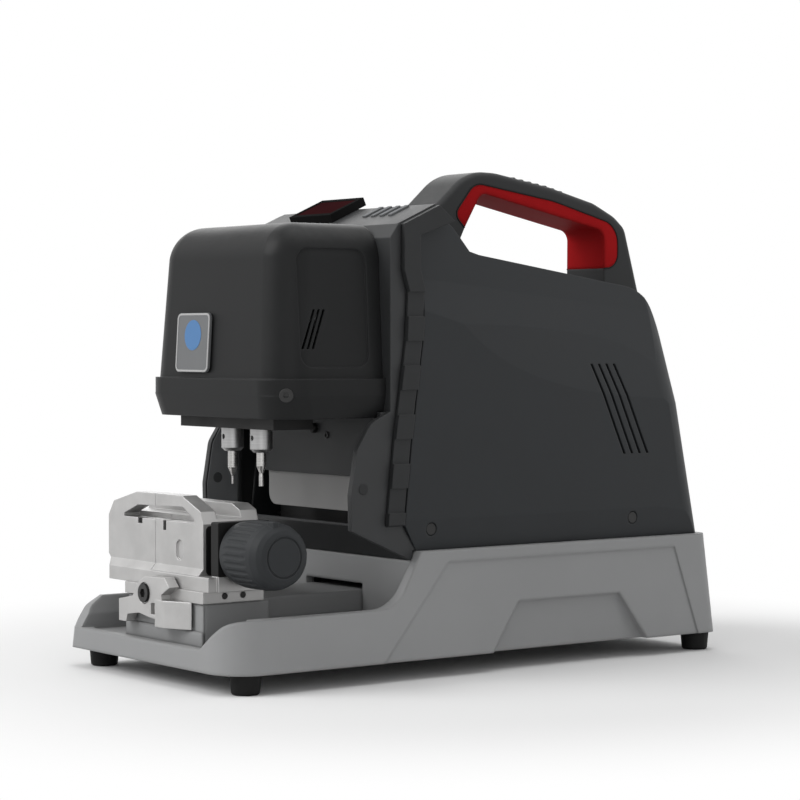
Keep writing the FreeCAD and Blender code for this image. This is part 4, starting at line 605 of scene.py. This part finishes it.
def make_recess_details():
    """Pale linings on the two cheeks' inner faces, painted light where the head's shade falls on them; darker
    round caps, painted shade of the cheeks' shallow dimples; and a stud and a screw on the wall between them.
    """
    edge = [(-0.0769, 0.0935), (-0.0998, 0.0935), (-0.1003, 0.1140), (-0.0959, 0.1405),
            (-0.0862, 0.1565), (-0.0769, 0.1575), (-0.0769, 0.0935)]
    edge_radii = (0.0015, 0.010, 0.010, 0.004, 0.001)
    outline = eased_path(edge, edge_radii)[:-1]
    # The linings are painted light: pale sheets on inner faces that lie in the head's shade
    for name, start, end in (("cheek_lit_lining_left", -0.0801, -0.0794),
                             ("cheek_lit_lining_right", 0.0794, 0.0801)):
        rings = side_sheet(outline[::-1], start, end)
        skin(name, rings, "housing", "guard_plastic", CHEEK_PAINTED_LIGHT)

    # The caps are painted shade: darker discs where the cheeks have shallow dimples
    cap_y, cap_z, cap_radius, cap_thick, cap_ease = -0.0925, 0.1172, 0.0034, 0.0005, 0.0003
    for name, x, way, look in (("cheek_cap_left", -0.0795, 1.0, CAP_PAINTED_SHADE),
                               ("cheek_cap_left_outer", -0.0839, -1.0, None),
                               ("cheek_cap_right", 0.0795, -1.0, CAP_PAINTED_SHADE),
                               ("cheek_cap_right_outer", 0.0839, 1.0, None)):
        place = seat((x, cap_y, cap_z), (way, 0.0, 0.0))
        skin(name, disc(place, cap_radius, cap_thick, cap_ease), "housing", "trim_plastic", look)

    wall_y = -0.0764
    stud_x, stud_z, stud_radius, stud_high, stud_ease = 0.0097, 0.1520, 0.0032, 0.0030, 0.0010
    place = seat((stud_x, wall_y, stud_z), TO_FRONT)
    skin("wall_stud", disc(place, stud_radius, stud_high, stud_ease), "housing", "carriage_black")
    screw_x, screw_z, screw_radius, screw_high, screw_socket = 0.0229, 0.1479, 0.0022, 0.0010, 0.0011
    place = seat((screw_x, wall_y, screw_z), TO_FRONT)
    skin("wall_screw", socket_head(place, screw_radius, screw_high, screw_socket), "housing", "screw_steel")


def make_grip_seam():
    """A thin dark cord on each side of the handle, along the outer edge of its red lining."""
    corners = [(0.1576, 0.2565), (0.1700, 0.2565), (0.1700, 0.2860), (0.1120, 0.3010), (0.0445, 0.3108),
               (0.0275, 0.2895), (0.0360, 0.2810)]
    corner_radii, cord_radius = (0.010, 0.016, 0.060, 0.012, 0.006), 0.0005
    path = eased_path(corners, corner_radii)
    half_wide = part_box("handle_grip")[1][0]
    for name, x in (("grip_seam_right", half_wide), ("grip_seam_left", -half_wide)):
        skin(name, side_tube(path, x, cord_radius), "housing", "foot_rubber")


def make_handle_ribs():
    """Beads across the handle's top, seated on its slope: two straight runs that fall to the back."""
    run, height = np.array([0.064, 0.111, 0.150]), np.array([0.3180, 0.3103, 0.3008])
    fall = -np.diff(height) / np.diff(run)
    first, pitch, count, sunk = 0.082, 0.0068, 7, 0.0002
    half_long, half_wide, high = 0.0150, 0.0018, 0.0013
    for index in range(count):
        y = first + pitch * index
        z = np.interp(y, run, height) - sunk
        slope = math.atan(fall[0] if y < run[1] else fall[1])
        place = seat((0.0, y, z), (0.0, math.sin(slope), math.cos(slope)), up=(0.0, 1.0, 0.0))
        skin(f"handle_rib_{index + 1}", bead(place, half_long, half_wide, high), "housing", "handle_plastic")


def make_head_screw():
    """A screw in the rounded corner of the head's skirt, at a bearing about the corner's upright axis."""
    corner_axis = np.array([0.055, -0.1265])
    bearing, reach, z = math.radians(-39), 0.0238, 0.1745
    radius, high, socket = 0.0042, 0.0010, 0.0018
    out = np.array([math.cos(bearing), math.sin(bearing)])
    place = seat((*(corner_axis + out * reach), z), (*out, 0.0))
    skin("head_screw", socket_head(place, radius, high, socket), "housing", "screw_steel")


# Camera, floor and light

def set_camera():
    """The photograph's camera: place, turn and lens found from the object's straight edges."""
    azimuth, elevation = math.radians(53.267), math.radians(1.431)
    stands_at = (1.29276, -0.96696, 0.20861)
    level = math.cos(elevation)
    back = Vector((math.sin(azimuth) * level, -math.cos(azimuth) * level, math.sin(elevation)))
    right = Vector((math.cos(azimuth), math.sin(azimuth), 0.0))
    up = back.cross(right)
    data = bpy.data.cameras.new("photo_camera")
    data.sensor_fit = "HORIZONTAL"
    data.sensor_width = 36.0
    data.lens = 111.2
    data.clip_end = 50.0
    camera = bpy.data.objects.new("photo_camera", data)
    turn = Matrix((right, up, back)).transposed().to_4x4()
    camera.matrix_world = Matrix.Translation(stands_at) @ turn
    scene.collection.objects.link(camera)
    scene.camera = camera


WHITE = (1.0, 1.0, 1.0, 1.0)


def set_floor():
    """A wide pale floor that takes the object's shadow and turns plain white away from it."""
    side = 12.0
    pale = (0.84, 0.84, 0.84, 1.0)
    white_from, white_to = 0.27, 0.48
    mesh = bpy.data.meshes.new("floor")
    corners = [(-side, -side, 0), (side, -side, 0), (side, side, 0), (-side, side, 0)]
    mesh.from_pydata(corners, [], [(0, 1, 2, 3)])
    floor = bpy.data.objects.new("floor", mesh)
    scene.collection.objects.link(floor)
    paint = bpy.data.materials.new("floor_paint")
    paint.use_nodes = True
    tree = paint.node_tree
    tree.nodes.clear()
    spot = add(tree, "ShaderNodeTexCoord").outputs["Object"]
    reach = add(tree, "ShaderNodeVectorMath", {"operation": "LENGTH"}, i0=spot).outputs["Value"]
    away = add(tree, "ShaderNodeMapRange", {"interpolation_type": "SMOOTHSTEP"}, Value=reach,
               From_Min=white_from, From_Max=white_to).outputs[0]
    matt = add(tree, "ShaderNodeBsdfDiffuse", None, Color=pale).outputs[0]
    white = add(tree, "ShaderNodeEmission", None, Color=WHITE, Strength=1.0).outputs[0]
    open_floor = add(tree, "ShaderNodeMixShader", None, i0=away, i1=matt, i2=white).outputs[0]
    shown = add(tree, "ShaderNodeMixShader", None, i0=looked_at(tree), i1=matt, i2=open_floor).outputs[0]
    add(tree, "ShaderNodeOutputMaterial", None, Surface=shown)
    mesh.materials.append(paint)


def set_world():
    """Even pale surround: plain light on the object, white where it is looked at."""
    light_strength = 0.40
    world = bpy.data.worlds.new("studio")
    scene.world = world
    world.use_nodes = True
    tree = world.node_tree
    tree.nodes.clear()
    plain = add(tree, "ShaderNodeBackground", None, Color=WHITE, Strength=light_strength).outputs[0]
    white = add(tree, "ShaderNodeBackground", None, Color=WHITE, Strength=1.0).outputs[0]
    shown = add(tree, "ShaderNodeMixShader", None, i0=looked_at(tree), i1=plain, i2=white).outputs[0]
    add(tree, "ShaderNodeOutputWorld", None, Surface=shown)


def soft_lamp(name, stands_at, aim, size, power):
    """A square soft box that looks at a point."""
    data = bpy.data.lights.new(name, "AREA")
    data.shape = "SQUARE"
    data.size = size
    data.energy = power
    lamp = bpy.data.objects.new(name, data)
    turn = (Vector(aim) - Vector(stands_at)).to_track_quat("-Z", "Y").to_matrix().to_4x4()
    lamp.matrix_world = Matrix.Translation(stands_at) @ turn
    scene.collection.objects.link(lamp)


# Each lamp's name, place, aim, side and power
LAMPS = (
    ("key_box", (-0.9, -1.9, 1.5), (0.0, -0.05, 0.15), 1.4, 33.5),
    ("top_box", (0.2, 0.2, 2.2), (0.0, 0.0, 0.1), 1.8, 18.0),
    ("back_box", (-1.7, 1.0, 1.1), (0.0, 0.0, 0.2), 1.3, 8.0),
    ("fill_box", (1.7, -1.2, 0.5), (0.0, 0.0, 0.12), 1.2, 3.5),
    ("rear_box", (1.5, 1.7, 0.9), (0.0, 0.1, 0.12), 1.2, 3.0),
)

make_label()
make_clamp_cover_and_jaw_shade()
make_carriage_front()
make_pocket_shades()
make_recess_details()
make_grip_seam()
make_handle_ribs()
make_head_screw()
set_camera()
set_floor()
set_world()
for lamp in LAMPS:
    soft_lamp(*lamp)
scene.view_settings.view_transform = "Standard"
